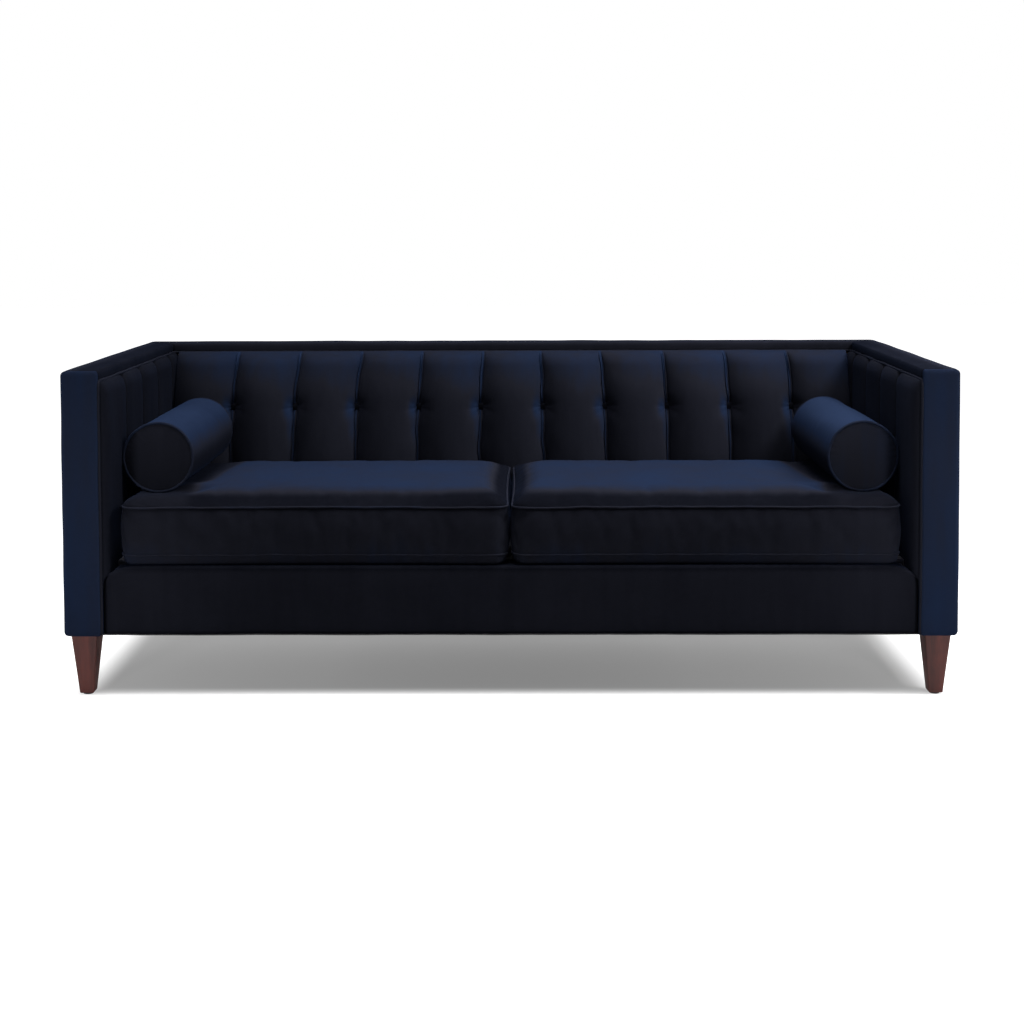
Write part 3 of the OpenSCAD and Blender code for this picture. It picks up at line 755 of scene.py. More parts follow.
def soft_panel(
    low: Sequence[float],
    high: Sequence[float],
    radii: Sequence[Sequence[float]],
    swells: Sequence[Swell] = (),
    seams: Sequence[Seam] = (),
    step: float = 0.02,
    waver: Waver = Waver(0.0, 0.16, 1),
    bend: Callable[[Array], Array] | None = None,
) -> Surface:
    """A padded panel: a box with rounded edges, swelling faces, drawn-in seams and a waviness.

    A face swells by its height times the bulge over both of its sides. At a seam the outside is
    drawn in by a bell curve of the distance from the seam.

    Args:
        low: lowest corner.
        high: highest corner.
        radii: edge radii at the low and at the high ends of the three axes.
        swells: the faces that swell.
        seams: the ends that are sewn to a neighbour.
        step: spacing of the grid.
        waver: unevenness of the outside.
        bend: moves the finished points, as for a mitre.

    Returns:
        The closed surface.
    """
    low, high, radii = np.array(low, float), np.array(high, float), np.array(radii, float)
    fine = np.minimum(np.maximum(radii, 0.005), (high - low) / 3)
    grid = BoxGrid.of(*(spaced(low[k], high[k], tuple(fine[:, k]), step) for k in range(3)))
    points, outward = rounded(grid.points, low, high, radii)
    share = (grid.points - low) / (high - low)
    for swell in swells:
        first, second = (k for k in range(3) if k != swell.axis)
        depth = share[:, swell.axis] if swell.end > 0 else 1 - share[:, swell.axis]
        rise = swell.height * bulge(share[:, first]) * bulge(share[:, second]) * depth
        points[:, swell.axis] += swell.end * rise
    points += outward * waver.at(points)[:, None]
    for seam in seams:
        edge = high[seam.axis] if seam.end > 0 else low[seam.axis]
        pull = seam.depth * bell(points[:, seam.axis] - edge, seam.width)
        inward = -outward
        inward[:, seam.axis] = 0
        points += inward * pull[:, None]
    if bend is not None:
        points = bend(points)
    return Surface(points, [grid.quads])


def backed(front: Array, back: Array) -> Surface:
    """Closes a relief: its front grid, a rim that runs back from its edge and a flat back.

    Args:
        front: points of the relief, as rows, columns and coordinates.
        back: the same grid on the flat back, of which the edge is used.

    Returns:
        The closed surface.
    """
    rows, columns, _ = front.shape
    number = np.arange(rows * columns).reshape(rows, columns)
    edge = np.concatenate([number[0, :-1], number[:-1, -1], number[-1, :0:-1], number[:0:-1, 0]])
    rim = back.reshape(-1, 3)[edge]
    first = rows * columns
    behind = first + np.arange(len(edge))
    after = np.roll(behind, -1)
    sides = np.stack([edge, behind, after, np.roll(edge, -1)], axis=-1)
    fan = np.stack([np.full(len(edge), first + len(edge)), after, behind], axis=-1)
    points = np.concatenate([front.reshape(-1, 3), rim, rim.mean(axis=0, keepdims=True)])
    return Surface(points, [grid_quads(rows, columns), sides, fan])


def loft(sections: Array, closed: bool = False) -> Surface:
    """Joins closed outlines one after another, and closes the ends of an open loft by fans.

    Args:
        sections: the outlines, as sections, points and coordinates.
        closed: joins the last outline to the first.

    Returns:
        The closed surface.
    """
    count, size, _ = sections.shape
    points = sections.reshape(-1, 3)
    quads = grid_quads(count, size, wrap_rows=closed, wrap_columns=True)
    if closed:
        return Surface(points, [quads])
    ring = np.arange(size)
    following = (ring + 1) % size
    last = (count - 1) * size
    fans = [
        np.stack([np.full(size, len(points)), following, ring], axis=-1),
        np.stack([np.full(size, len(points) + 1), ring + last, following + last], axis=-1),
    ]
    return Surface(np.concatenate([points, sections[[0, -1]].mean(axis=1)]), [quads, *fans])


def tube(path: Array, radius: float, sides: int = 12, closed: bool = False) -> Surface:
    """A round cord along a path: circles square to the path's direction.

    Args:
        path: points of the middle line.
        radius: radius of the cord, or one radius for each point.
        sides: points round the cord.
        closed: joins the last point to the first.

    Returns:
        The closed surface.
    """
    if closed:
        along = np.roll(path, -1, axis=0) - np.roll(path, 1, axis=0)
    else:
        along = np.gradient(path, axis=0)
    along /= np.maximum(np.linalg.norm(along, axis=1, keepdims=True), TINY)
    slanted = np.array([0.53, 0.61, 0.59])
    across = np.cross(along, slanted)
    across /= np.linalg.norm(across, axis=1, keepdims=True)
    upward = np.cross(across, along)
    angles = np.linspace(0, 2 * math.pi, sides, endpoint=False)[None, :, None]
    reach = np.broadcast_to(radius, len(path))[:, None, None]
    circle = np.cos(angles) * across[:, None] + np.sin(angles) * upward[:, None]
    return loft(path[:, None] + reach * circle, closed)


def even_path(points: Array, step: float, closed: bool = False) -> Array:
    """The same path with points at even lengths along it.

    Args:
        points: points of the path.
        step: spacing wanted.
        closed: the path runs on from its last point to its first.

    Returns:
        The new points.
    """
    line = np.concatenate([points, points[:1]]) if closed else points
    lengths = np.concatenate([[0], np.cumsum(np.linalg.norm(np.diff(line, axis=0), axis=1))])
    count = max(4, round(lengths[-1] / step))
    places = np.linspace(0, lengths[-1], count, endpoint=not closed)
    return np.stack([np.interp(places, lengths, line[:, k]) for k in range(3)], axis=-1)


def turned_path(corners: Sequence[Sequence[float]], radius: float, steps: int = 8) -> Array:
    """A path past corners, each rounded by a quadratic curve that starts a radius before it.

    Args:
        corners: the corners and both ends.
        radius: distance from a corner at which its curve starts and ends.
        steps: points on each curve.

    Returns:
        The points of the path.
    """
    corners = np.array(corners, float)
    pieces = [corners[:1]]
    for before, corner, after in zip(corners[:-2], corners[1:-1], corners[2:]):
        start = corner + (before - corner) * radius / np.linalg.norm(before - corner)
        end = corner + (after - corner) * radius / np.linalg.norm(after - corner)
        t = np.linspace(0, 1, steps)[:, None]
        pieces.append((1 - t) ** 2 * start + 2 * t * (1 - t) * corner + t**2 * end)
    return np.concatenate([*pieces, corners[-1:]])


# Pieces


@dataclass(frozen=True)
class Piece:
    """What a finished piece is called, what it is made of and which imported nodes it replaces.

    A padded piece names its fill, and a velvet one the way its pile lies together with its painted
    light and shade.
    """

    name: str
    body: str
    slot: Slot
    replaces: tuple[str, ...] = ()
    fill: float | None = None
    nap: float = 0.5


class Workshop:
    """Makes objects out of surfaces and gives them their finish."""

    def __init__(self) -> None:
        """Builds each finish once."""
        self.finishes = {slot: finish.build() for slot, finish in FINISHES.items()}

    def make(self, piece: Piece, surface: Surface, weld: float = 1e-6) -> bpy.types.Object:
        """Makes a piece of the sofa.

        Args:
            piece: its name, body, slot and the nodes it stands for.
            surface: its mesh.
            weld: distance below which points are merged.

        Returns:
            The finished object.
        """
        mesh = bpy.data.meshes.new(piece.name)
        faces = [face for block in surface.faces for face in block.tolist()]
        mesh.from_pydata(surface.points.tolist(), [], faces)
        closed = bmesh.new()
        closed.from_mesh(mesh)
        bmesh.ops.remove_doubles(closed, verts=closed.verts, dist=weld)
        bmesh.ops.recalc_face_normals(closed, faces=closed.faces)
        closed.to_mesh(mesh)
        closed.free()
        mesh.shade_smooth()
        made = bpy.data.objects.new(piece.name, mesh)
        bpy.context.scene.collection.objects.link(made)
        mesh.materials.append(self.finishes[piece.slot])
        if piece.slot is Slot.VELVET:
            self.brush(made, np.full(len(mesh.vertices), piece.nap))
        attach(made, piece.body)
        if piece.replaces:
            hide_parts(*piece.replaces)
        LOG.info("%s: %d points on %s", piece.name, len(mesh.vertices), piece.body)
        return made

    @staticmethod
    def places(made: bpy.types.Object) -> Array:
        """Reads the points of a mesh.

        Args:
            made: the object, or its evaluated copy.

        Returns:
            One row of coordinates for each point.
        """
        points = np.empty(len(made.data.vertices) * 3)
        made.data.vertices.foreach_get("co", points)
        return points.reshape(-1, 3)

    @staticmethod
    def brush(made: bpy.types.Object, nap: Array) -> None:
        """Stores the way the pile lies together with painted light and shade at each point, on the
        velvet's scale from -1 to 2.
        """
        layer = made.data.attributes.get(NAP_AND_PAINTED_LIGHT) or made.data.attributes.new(NAP_AND_PAINTED_LIGHT, "FLOAT", "POINT")
        layer.data.foreach_set("value", nap.astype(np.float32))

    def dress(self, nodes: dict[str, bpy.types.Object], record: dict) -> None:
        """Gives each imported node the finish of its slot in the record.

        Args:
            nodes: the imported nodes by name.
            record: the part's record.
        """
        slots = {row["node"]: Slot(row["material_slot"]) for row in record["subparts"]}
        for name, node in nodes.items():
            node.data.materials.clear()
            node.data.materials.append(self.finishes[slots[name]])


@dataclass(frozen=True)
class Planes:
    """Planes and levels of the sofa, for its right half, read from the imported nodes."""

    outside: float
    band_x: float
    pad_x: float
    pad_back_x: float
    front: float
    post: float
    band_y: float
    pad_back_y: float
    back: float
    underside: float
    deck: float
    lip: float
    top_board: float
    top: float

    @classmethod
    def read(cls) -> "Planes":
        """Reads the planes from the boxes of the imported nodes.

        Returns:
            The planes.
        """
        arm_low, arm_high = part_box("arm_front_right")
        top_low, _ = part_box("back_top_pad")
        pad_low, pad_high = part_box("arm_pad_right")
        _, back_pad_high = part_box("back_pad")
        _, back_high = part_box("outside_back")
        _, deck_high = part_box("seat_deck")
        return cls(
            outside=arm_high.x,
            band_x=arm_low.x,
            pad_x=pad_low.x,
            pad_back_x=pad_high.x,
            front=arm_low.y,
            post=arm_high.y,
            band_y=top_low.y,
            pad_back_y=back_pad_high.y,
            back=back_high.y,
            underside=arm_low.z,
            deck=deck_high.z,
            lip=top_low.z,
            top_board=back_high.z,
            top=arm_high.z,
        )


FRAME_BODY = "frame"


@dataclass
class ArmsAndBack:
    """The tight outer covers: arm fronts, top bands, outside panels and the welt along them."""

    shop: Workshop
    planes: Planes
    edge: float = 0.012
    front_edge: float = 0.004
    inner_edge: float = 0.006
    front_nap: float = 0.8
    # Painted shade over the arm tops, the back band and the inside welt, and a painted highlight along
    # the arm tops' outer edge.
    top_nap: float = -0.8
    rim_nap: float = 0.5
    back_nap: float = -0.22
    welt_nap: float = -0.1
    rim_from: float = 0.45
    rim_share: float = 0.5
    seam_edge: float = 0.0025
    swell: float = 0.002
    top_swell: float = 0.0008
    inset: float = 0.0008
    lap: float = 0.006
    edge_return: float = 0.019
    wave: float = 0.16
    taut_waver: float = 0.0004
    wide_waver: float = 0.0006
    back_waver: float = 0.0007
    welt_radius: float = 0.0034
    welt_turn: float = 0.012
    welt_step: float = 0.006
    welt_wavers: tuple[Waver, ...] = tuple(Waver(0.0004, 0.09, seed) for seed in (61, 62, 63))

    def build(self) -> None:
        """Makes every outer cover."""
        for side in Side:
            self.arm_front(side)
            self.arm_outside(side)
            self.arm_band(side)
        self.back_band()
        self.back_outside()
        self.inside_welt()

    def arm_front(self, side: Side) -> None:
        """The padded front of an arm, which swells forwards, with its edge turned in to the pad.

        Args:
            side: the arm's side.
        """
        p = self.planes
        panel = soft_panel(
            (p.band_x, p.front, p.underside),
            (p.outside, p.post, p.top),
            ((self.inner_edge, self.front_edge, self.edge), (self.edge, 0.0, self.edge)),
            [Swell(1, -1, self.swell)],
            [Seam(1, 1)],
            step=0.012,
            waver=Waver(self.taut_waver, self.wave, 11 + side.value),
        )
        pad_low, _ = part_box(f"arm_pad_{Side.RIGHT.label}")
        edge_return = soft_panel(
            (p.band_x, p.post - self.lap / 2, p.underside),
            (p.pad_back_x, p.post + self.edge_return, pad_low.z + self.lap),
            ((self.seam_edge / 2,) * 3, (self.seam_edge / 2,) * 3),
        )
        panel = panel.joined(edge_return)
        node = f"arm_front_{side.label}"
        piece = Piece(f"velvet_{node}", FRAME_BODY, Slot.VELVET, (node,), 0.8, self.front_nap)
        self.shop.make(piece, panel.mirrored(side))

    def arm_outside(self, side: Side) -> None:
        """The outside panel of an arm: a plane with a slight hollow and a waviness.

        Args:
            side: the arm's side.
        """
        p = self.planes
        low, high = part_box(f"arm_outside_{Side.RIGHT.label}")
        panel = soft_panel(
            (low.x, p.post - self.lap / 2, p.underside),
            (p.outside - self.inset, high.y + self.lap / 2, p.top_board + self.lap),
            ((self.seam_edge / 2,) * 3, (self.seam_edge,) * 3),
            [Swell(0, 1, -self.inset)],
            step=0.02,
            waver=Waver(self.wide_waver, self.wave, 21 + side.value),
        )
        node = f"arm_outside_{side.label}"
        piece = Piece(f"velvet_{node}", FRAME_BODY, Slot.VELVET, (node,), 0.9)
        self.shop.make(piece, panel.mirrored(side))

    def arm_band(self, side: Side) -> None:
        """The padded top of an arm, cut on a mitre at the back corner.

        Painted shade darkens the inner part of the top, eased to a painted highlight at its outer edge.

        Args:
            side: the arm's side.
        """
        p = self.planes

        def mitre(points: Array) -> Array:
            """Shortens each line along the arm: y keeps its share of the way to the mitre.

            Args:
                points: the panel's points.

            Returns:
                The moved points.
            """
            end = p.band_y + np.clip(points[:, 0] - p.band_x, 0, None)
            share = (points[:, 1] - p.post) / (p.back - p.post)
            points[:, 1] = p.post + share * (end - p.post)
            return points

        panel = soft_panel(
            (p.band_x, p.post, p.lip),
            (p.outside, p.back, p.top),
            ((self.inner_edge, 0.0, self.seam_edge), (self.edge, 0.0, self.edge)),
            [Swell(2, 1, self.top_swell)],
            [Seam(1, -1), Seam(1, 1)],
            step=0.014,
            waver=Waver(self.taut_waver, self.wave, 31 + side.value),
            bend=mitre,
        )
        node = f"arm_top_pad_{side.label}"
        piece = Piece(f"velvet_{node}", FRAME_BODY, Slot.VELVET, (node,), 0.8)
        made = self.shop.make(piece, panel.mirrored(side))
        share = (np.abs(self.shop.places(made)[:, 0]) - p.band_x) / (p.outside - p.band_x)
        # rim is the painted highlight's share towards the outer edge; the rest of the top gets painted
        # shade.
        rim = eased((share - self.rim_from) / self.rim_share)
        self.shop.brush(made, self.top_nap + (self.rim_nap - self.top_nap) * rim)

    def back_band(self) -> None:
        """The padded top of the back between the two mitres."""
        p = self.planes

        def mitre(points: Array) -> Array:
            """Shortens each line along the back: x is scaled so that it ends at both mitres.

            Args:
                points: the panel's points.

            Returns:
                The moved points.
            """
            end = p.band_x + np.clip(points[:, 1] - p.band_y, 0, None)
            points[:, 0] *= end / p.outside
            return points

        panel = soft_panel(
            (-p.outside, p.band_y, p.lip),
            (p.outside, p.back, p.top),
            ((0.0, self.inner_edge, self.seam_edge), (0.0, self.edge, self.edge)),
            [Swell(2, 1, self.top_swell)],
            [Seam(0, -1), Seam(0, 1)],
            step=0.016,
            waver=Waver(self.taut_waver, self.wave, 41),
            bend=mitre,
        )
        node = "back_top_pad"
        # The band gets painted shade.
        piece = Piece(f"velvet_{node}", FRAME_BODY, Slot.VELVET, (node,), 0.8, self.back_nap)
        self.shop.make(piece, panel)

    def back_outside(self) -> None:
        """The outside back panel, whose side edges turn round to the arms."""
        p = self.planes
        low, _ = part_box("outside_back")
        corner, seam = self.edge / 2, self.seam_edge
        panel = soft_panel(
            (-p.outside, low.y, p.underside),
            (p.outside, p.back - self.inset, p.top_board + self.lap),
            ((corner, seam / 2, seam), (corner, corner, seam)),
            [Swell(1, 1, -self.inset)],
            step=0.022,
            waver=Waver(self.back_waver, self.wave, 51),
        )
        node = "outside_back"
        self.shop.make(Piece(f"velvet_{node}", FRAME_BODY, Slot.VELVET, (node,), 0.9), panel)

    def inside_welt(self) -> None:
        """One welt up the inner edge of each arm front and all round under the top bands."""
        p, r = self.planes, self.welt_radius
        x, y, z = p.band_x - r / 4, p.band_y - r / 4, p.lip - r / 2
        front = p.front + self.front_edge
        corners = [(x, front, p.underside + r), (x, front, z), (x, y, z)]
        corners += [(-cx, cy, cz) for cx, cy, cz in reversed(corners)]
        path = even_path(turned_path(corners, self.welt_turn), self.welt_step)
        path += np.stack([waver.at(path) for waver in self.welt_wavers], axis=-1)
        self.shop.make(Piece("inside_welt", FRAME_BODY, Slot.VELVET, nap=self.welt_nap), tube(path, r))


def channel_swell(share: Array, power: float = 2.0, roundness: float = 0.72) -> Array:
    """Section of a padded channel, 1 in its middle: (1 - |2 share - 1| ^ power) ^ roundness."""
    return np.clip(1 - np.abs(2 * share - 1) ** power, 0, 1) ** roundness


def quarter_roll(distance: Array, reach: float, power: float = 2.0) -> Array:
    """Roll over an edge, 1 from its reach inwards: a quarter circle, or a fuller arc by the power."""
    return np.clip(1 - (1 - np.clip(distance / reach, 0, 1)) ** power, 0, 1) ** (1 / power)


@dataclass(frozen=True)
class Channels:
    """A row of sewn channels: places of its seams and ends along the pad."""

    seams: Array
    fine: float = 0.0009
    close: float = 0.0075
    coarse: float = 0.0075

    def places(self) -> Array:
        """Places across the pad, in fine steps close to every seam and coarse steps between.

        Returns:
            The places in order.
        """
        near = np.arange(0, self.close + self.fine, self.fine)
        middle = []
        for start, end in zip(self.seams[:-1] + self.close, self.seams[1:] - self.close):
            middle.append(np.linspace(start, end, max(2, round((end - start) / self.coarse) + 1)))
        beside = [seam + way * near for way in (1, -1) for seam in self.seams]
        places = np.concatenate([*beside, *middle])
        places = places[(places >= self.seams[0]) & (places <= self.seams[-1])]
        return np.unique(np.round(places, 5))

    def locate(self, place: Array) -> tuple[Array, Array, Array]:
        """Finds where places lie among the seams.

        Args:
            place: places along the pad.

        Returns:
            The share of the way across the channel, the distance past the nearest seam and
            whether that seam is sewn, as the two ends of the pad aren't.
        """
        number = np.clip(np.searchsorted(self.seams, place, side="right") - 1, 0, len(self.seams) - 2)
        start, end = self.seams[number], self.seams[number + 1]
        share = np.clip((place - start) / (end - start), 0, 1)
        nearest = np.where(share < 0.5, start, end)
        sewn = (nearest > self.seams[0] + TINY) & (nearest < self.seams[-1] - TINY)
        return share, place - nearest, sewn


@dataclass(frozen=True)
class Pleat:
    """The narrow fold sewn along each channel seam, between two lines of stitching."""

    width: float = 0.0096
    ridge: float = 0.0034
    groove: float = 0.0058
    line: float = 0.0014
    ridge_share: float = 0.36

    def relief(self, distance: Array) -> Array:
        """Height beside the seam: a bell-shaped ridge less a narrow bell along each line.

        Args:
            distance: distance from the seam.

        Returns:
            The height.
        """
        ridge = self.ridge * bell(distance, self.width * self.ridge_share)
        grooves = self.groove * bell(np.abs(distance) - self.width / 2, self.line)
        return ridge - grooves


@dataclass(frozen=True)
class Glow:
    """A painted highlight beside a button: a product of two bell curves."""

    left: float
    below: float
    width: float
    height: float
    share: float = 1.0

    def at(self, across: Array, up: Array) -> Array:
        """Brightness at places across from the seam and up from the button."""
        return self.share * bell(across + self.left, self.width) * bell(up + self.below, self.height)


@dataclass
class BackPad:
    """The tight inner back: upright channels with pleated seams, each held by one button."""

    shop: Workshop
    planes: Planes
    channels: int = 11
    end_channel_share: float = 0.947
    skin: float = 0.005
    seam_top: float = 0.026
    seam_foot: float = 0.110
    rake_power: float = 2.2
    swell: float = 0.034
    lean_top: float = 0.0105
    lean_foot: float = 0.005
    lean_middle: float = 0.12
    waver: Waver = Waver(0.0016, 0.11, 75)
    tuft: float = 0.012
    tuft_spread: float = 0.024
    crease: float = 0.0012
    creases: int = 7
    crease_reach: float = 0.030
    crease_start: float = 0.012
    sag: Waver = Waver(0.0018, 0.13, 71)
    fold_waver: Waver = Waver(0.0011, 0.10, 73)
    fold_top: float = 0.008
    fold_gap: float = 0.014
    roll: float = 0.040
    roll_power: float = 2.6
    step: float = 0.006
    button_level: float = 0.611
    button_radius: float = 0.0105
    button_depth: float = 0.007
    button_stand: float = 0.55
    button_steps: tuple[int, int] = (28, 9)
    dome_power: float = 0.62
    dome_share: float = 0.75
    gathers: int = 9
    gather_share: float = 0.035
    # Painted light on the pad: painted shade on the buttons and low down, lighter towards the top,
    # darker to lighter across each channel, and painted highlights beside the buttons and along the
    # pleats.
    button_nap: float = -0.9
    top_nap: float = 0.5
    low_nap: float = -0.38
    slant_nap: float = 0.30
    glow_nap: float = 1.5
    glows: tuple[Glow, ...] = (Glow(0.017, 0.0, 0.012, 0.028), Glow(0.010, 0.055, 0.007, 0.035, 0.5))
    ridge_nap: float = 0.9
    ridge_width: float = 0.0034
    pleat: Pleat = Pleat()

    def row(self) -> Channels:
        """Splits the pad into channels, of which the outer ones are a little narrower.

        Returns:
            The row of channels.
        """
        _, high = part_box("back_pad")
        width = 2 * high.x / (self.channels - 2 + 2 * self.end_channel_share)
        inner = (np.arange(1, self.channels) - self.channels / 2) * width
        return Channels(np.concatenate([[-high.x], inner, [high.x]]))

    def depth(self, row: Channels, x: Array, z: Array) -> Array:
        """How far the pad stands forward of its flat back.

        The seams follow a raked curve, a power of the height, and the channels swell between
        them. Each button pulls its seam in by a bell curve, with creases that are a cosine of
        the direction round it. The pleat's relief fades out at a button and below the band, and
        the top rolls over in a quarter arc.

        Args:
            row: the channels.
            x: places across the pad.
            z: levels.

        Returns:
            The depth at each place.
        """
        p = self.planes
        share, across, sewn = row.locate(x)
        fall = np.clip((p.lip - z) / (p.lip - p.deck), 0, 1)
        raked = self.seam_top + (self.seam_foot - self.seam_top) * (1 - (1 - fall) ** self.rake_power)
        swelling = channel_swell(share)
        drop = z - self.button_level
        reach = np.hypot(across, drop)
        pulled = self.tuft * bell(reach, self.tuft_spread) * sewn
        turn = np.arctan2(drop, across)
        creases = self.crease * np.cos(self.creases * turn + 1.3 * np.sin(x * 4))
        creases *= bell(reach, self.crease_reach) * sewn * eased(reach / self.crease_start)
        sagging = self.sag.at(np.stack([x, 0 * x, z * 0.6], axis=-1)) * swelling
        wander = self.fold_waver.at(np.stack([np.round(x, 1) * 3, 0 * x, z], axis=-1))
        fold = self.pleat.relief(across + wander * eased(np.abs(drop) / 0.03)) * sewn
        fold *= eased((p.lip - z) / self.fold_top) * eased((np.abs(drop) + 0.002) / self.fold_gap)
        sewn_depth = raked + self.swell * swelling - pulled + creases + sagging + fold
        return self.skin + quarter_roll(p.lip - z, self.roll, self.roll_power) * sewn_depth

    def lean(self, x: Array, z: Array) -> Array:
        """Sideways drift of the seams, which changes its way across the middle of the back.

        It runs inwards above the buttons and outwards below them, by powers of the height, with
        a slight waver that fades at the buttons, and dies out at the pad's ends.

        Args:
            x: places across the pad.
            z: levels.

        Returns:
            The drift along X.
        """
        p = self.planes
        above = np.clip((z - self.button_level) / (p.lip - self.button_level), 0, 1)
        below = np.clip((self.button_level - z) / (self.button_level - p.deck), 0, 1)
        waver = self.waver.at(np.stack([x * 1.7, 0 * x, z], axis=-1))
        half = np.tanh(x / self.lean_middle)
        drift = half * (self.lean_foot * below - self.lean_top * above**1.4)
        drift += waver * eased((above + below) / 0.3)
        return drift * (1 - np.abs(x / x.max()) ** 10)

    def nap(self, row: Channels, x: Array, z: Array) -> Array:
        """Painted light on the pad: lighter towards the top and from left to right across each channel.

        Painted highlights lie on the pleats, and left of a button and of the seam below it, by
        bell curves of the distance across and up.

        Args:
            row: the channels.
            x: places across the pad.
            z: levels.

        Returns:
            The painted light at each place.
        """
        p = self.planes
        share, across, sewn = row.locate(x)
        drop = z - self.button_level
        climb = eased((drop - 0.005) / (p.lip - self.button_level - 0.02))
        # glow is the painted highlight beside each button, and ridge the one along each pleat.
        glow = sum(spot.at(across, drop) for spot in self.glows)
        ridge = bell(across, self.ridge_width)
        lift = self.slant_nap * (2 * share - 1) + (self.glow_nap * glow + self.ridge_nap * ridge) * sewn
        return self.low_nap + (self.top_nap - self.low_nap) * climb + lift

    def build(self) -> None:
        """Makes the pad and its buttons."""
        p = self.planes
        low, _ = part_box("back_pad")
        row = self.row()
        near_button = self.button_level + np.linspace(-0.05, 0.05, 27)
        near_top = p.lip - self.roll * (1 - np.cos(np.linspace(0, math.pi / 2, 12)))
        below = np.linspace(low.z, p.deck + 0.1, 8)
        levels = np.concatenate([below, np.arange(below[-1], p.lip, self.step), near_button, near_top])
        levels = np.unique(np.round(levels, 4))
        x, z = np.meshgrid(row.places(), levels)
        flat = np.stack([x, np.full_like(x, p.pad_back_y), z], axis=-1)
        front = flat.copy()
        front[..., 0] += self.lean(x, z)
        front[..., 1] -= self.depth(row, x, z)
        piece = Piece("tufted_back_pad", FRAME_BODY, Slot.VELVET, ("back_pad",), 0.7)
        made = self.shop.make(piece, backed(front, flat))
        places = self.shop.places(made)
        upright = places[:, 0] - self.lean(places[:, 0], places[:, 2])
        self.shop.brush(made, self.nap(row, upright, places[:, 2]))
        self.buttons(row)

    def buttons(self, row: Channels) -> None:
        """Covered buttons: quarter-ellipse domes, gathered towards the rim by a cosine round them.

        Args:
            row: the channels, with one button on each seam between them.
        """
        around, rings = self.button_steps
        angle = np.linspace(0, 2 * math.pi, around, endpoint=False)
        climb = np.linspace(0, 1, rings)[:, None]
        radius = self.button_radius * np.cos(climb * math.pi / 2) ** self.dome_power
        lift = self.button_depth * self.dome_share * np.sin(climb * math.pi / 2)
        radius = radius * (1 + self.gather_share * np.cos(self.gathers * angle)[None, :] * (1 - climb))
        dome = np.stack([radius * np.cos(angle), -lift + 0 * angle, radius * np.sin(angle)], -1)
        skirt = dome[:1] * (0.8, 1.0, 0.8) + (0, self.button_depth * 0.6, 0)
        shape = loft(np.concatenate([skirt, dome]))
        seams = row.seams[1:-1]
        level = np.full_like(seams, self.button_level)
        stand = self.button_depth * self.button_stand
        front = self.planes.pad_back_y - self.depth(row, seams, level) - stand
        centres = np.column_stack([seams, front, level])
        first, *rest = (Surface(shape.points + centre, shape.faces) for centre in centres)
        node = "back_buttons"
        # The buttons get painted shade.
        piece = Piece("covered_buttons", FRAME_BODY, Slot.VELVET, (node,), nap=self.button_nap)
        self.shop.make(piece, first.joined(*rest))


@dataclass(frozen=True)
class BorderCorner:
    """Rounding of the border's upper end corners: a quarter of an ellipse."""

    width: float = 0.084
    height: float = 0.042

    def reach(self, level: Array, top: float, end: float) -> Array:
        """X of the border's end at a level: its outline is a quarter ellipse below the top."""
        share = np.clip((level - (top - self.height)) / self.height, 0, 1)
        return end - self.width * (1 - np.sqrt(1 - share**2))


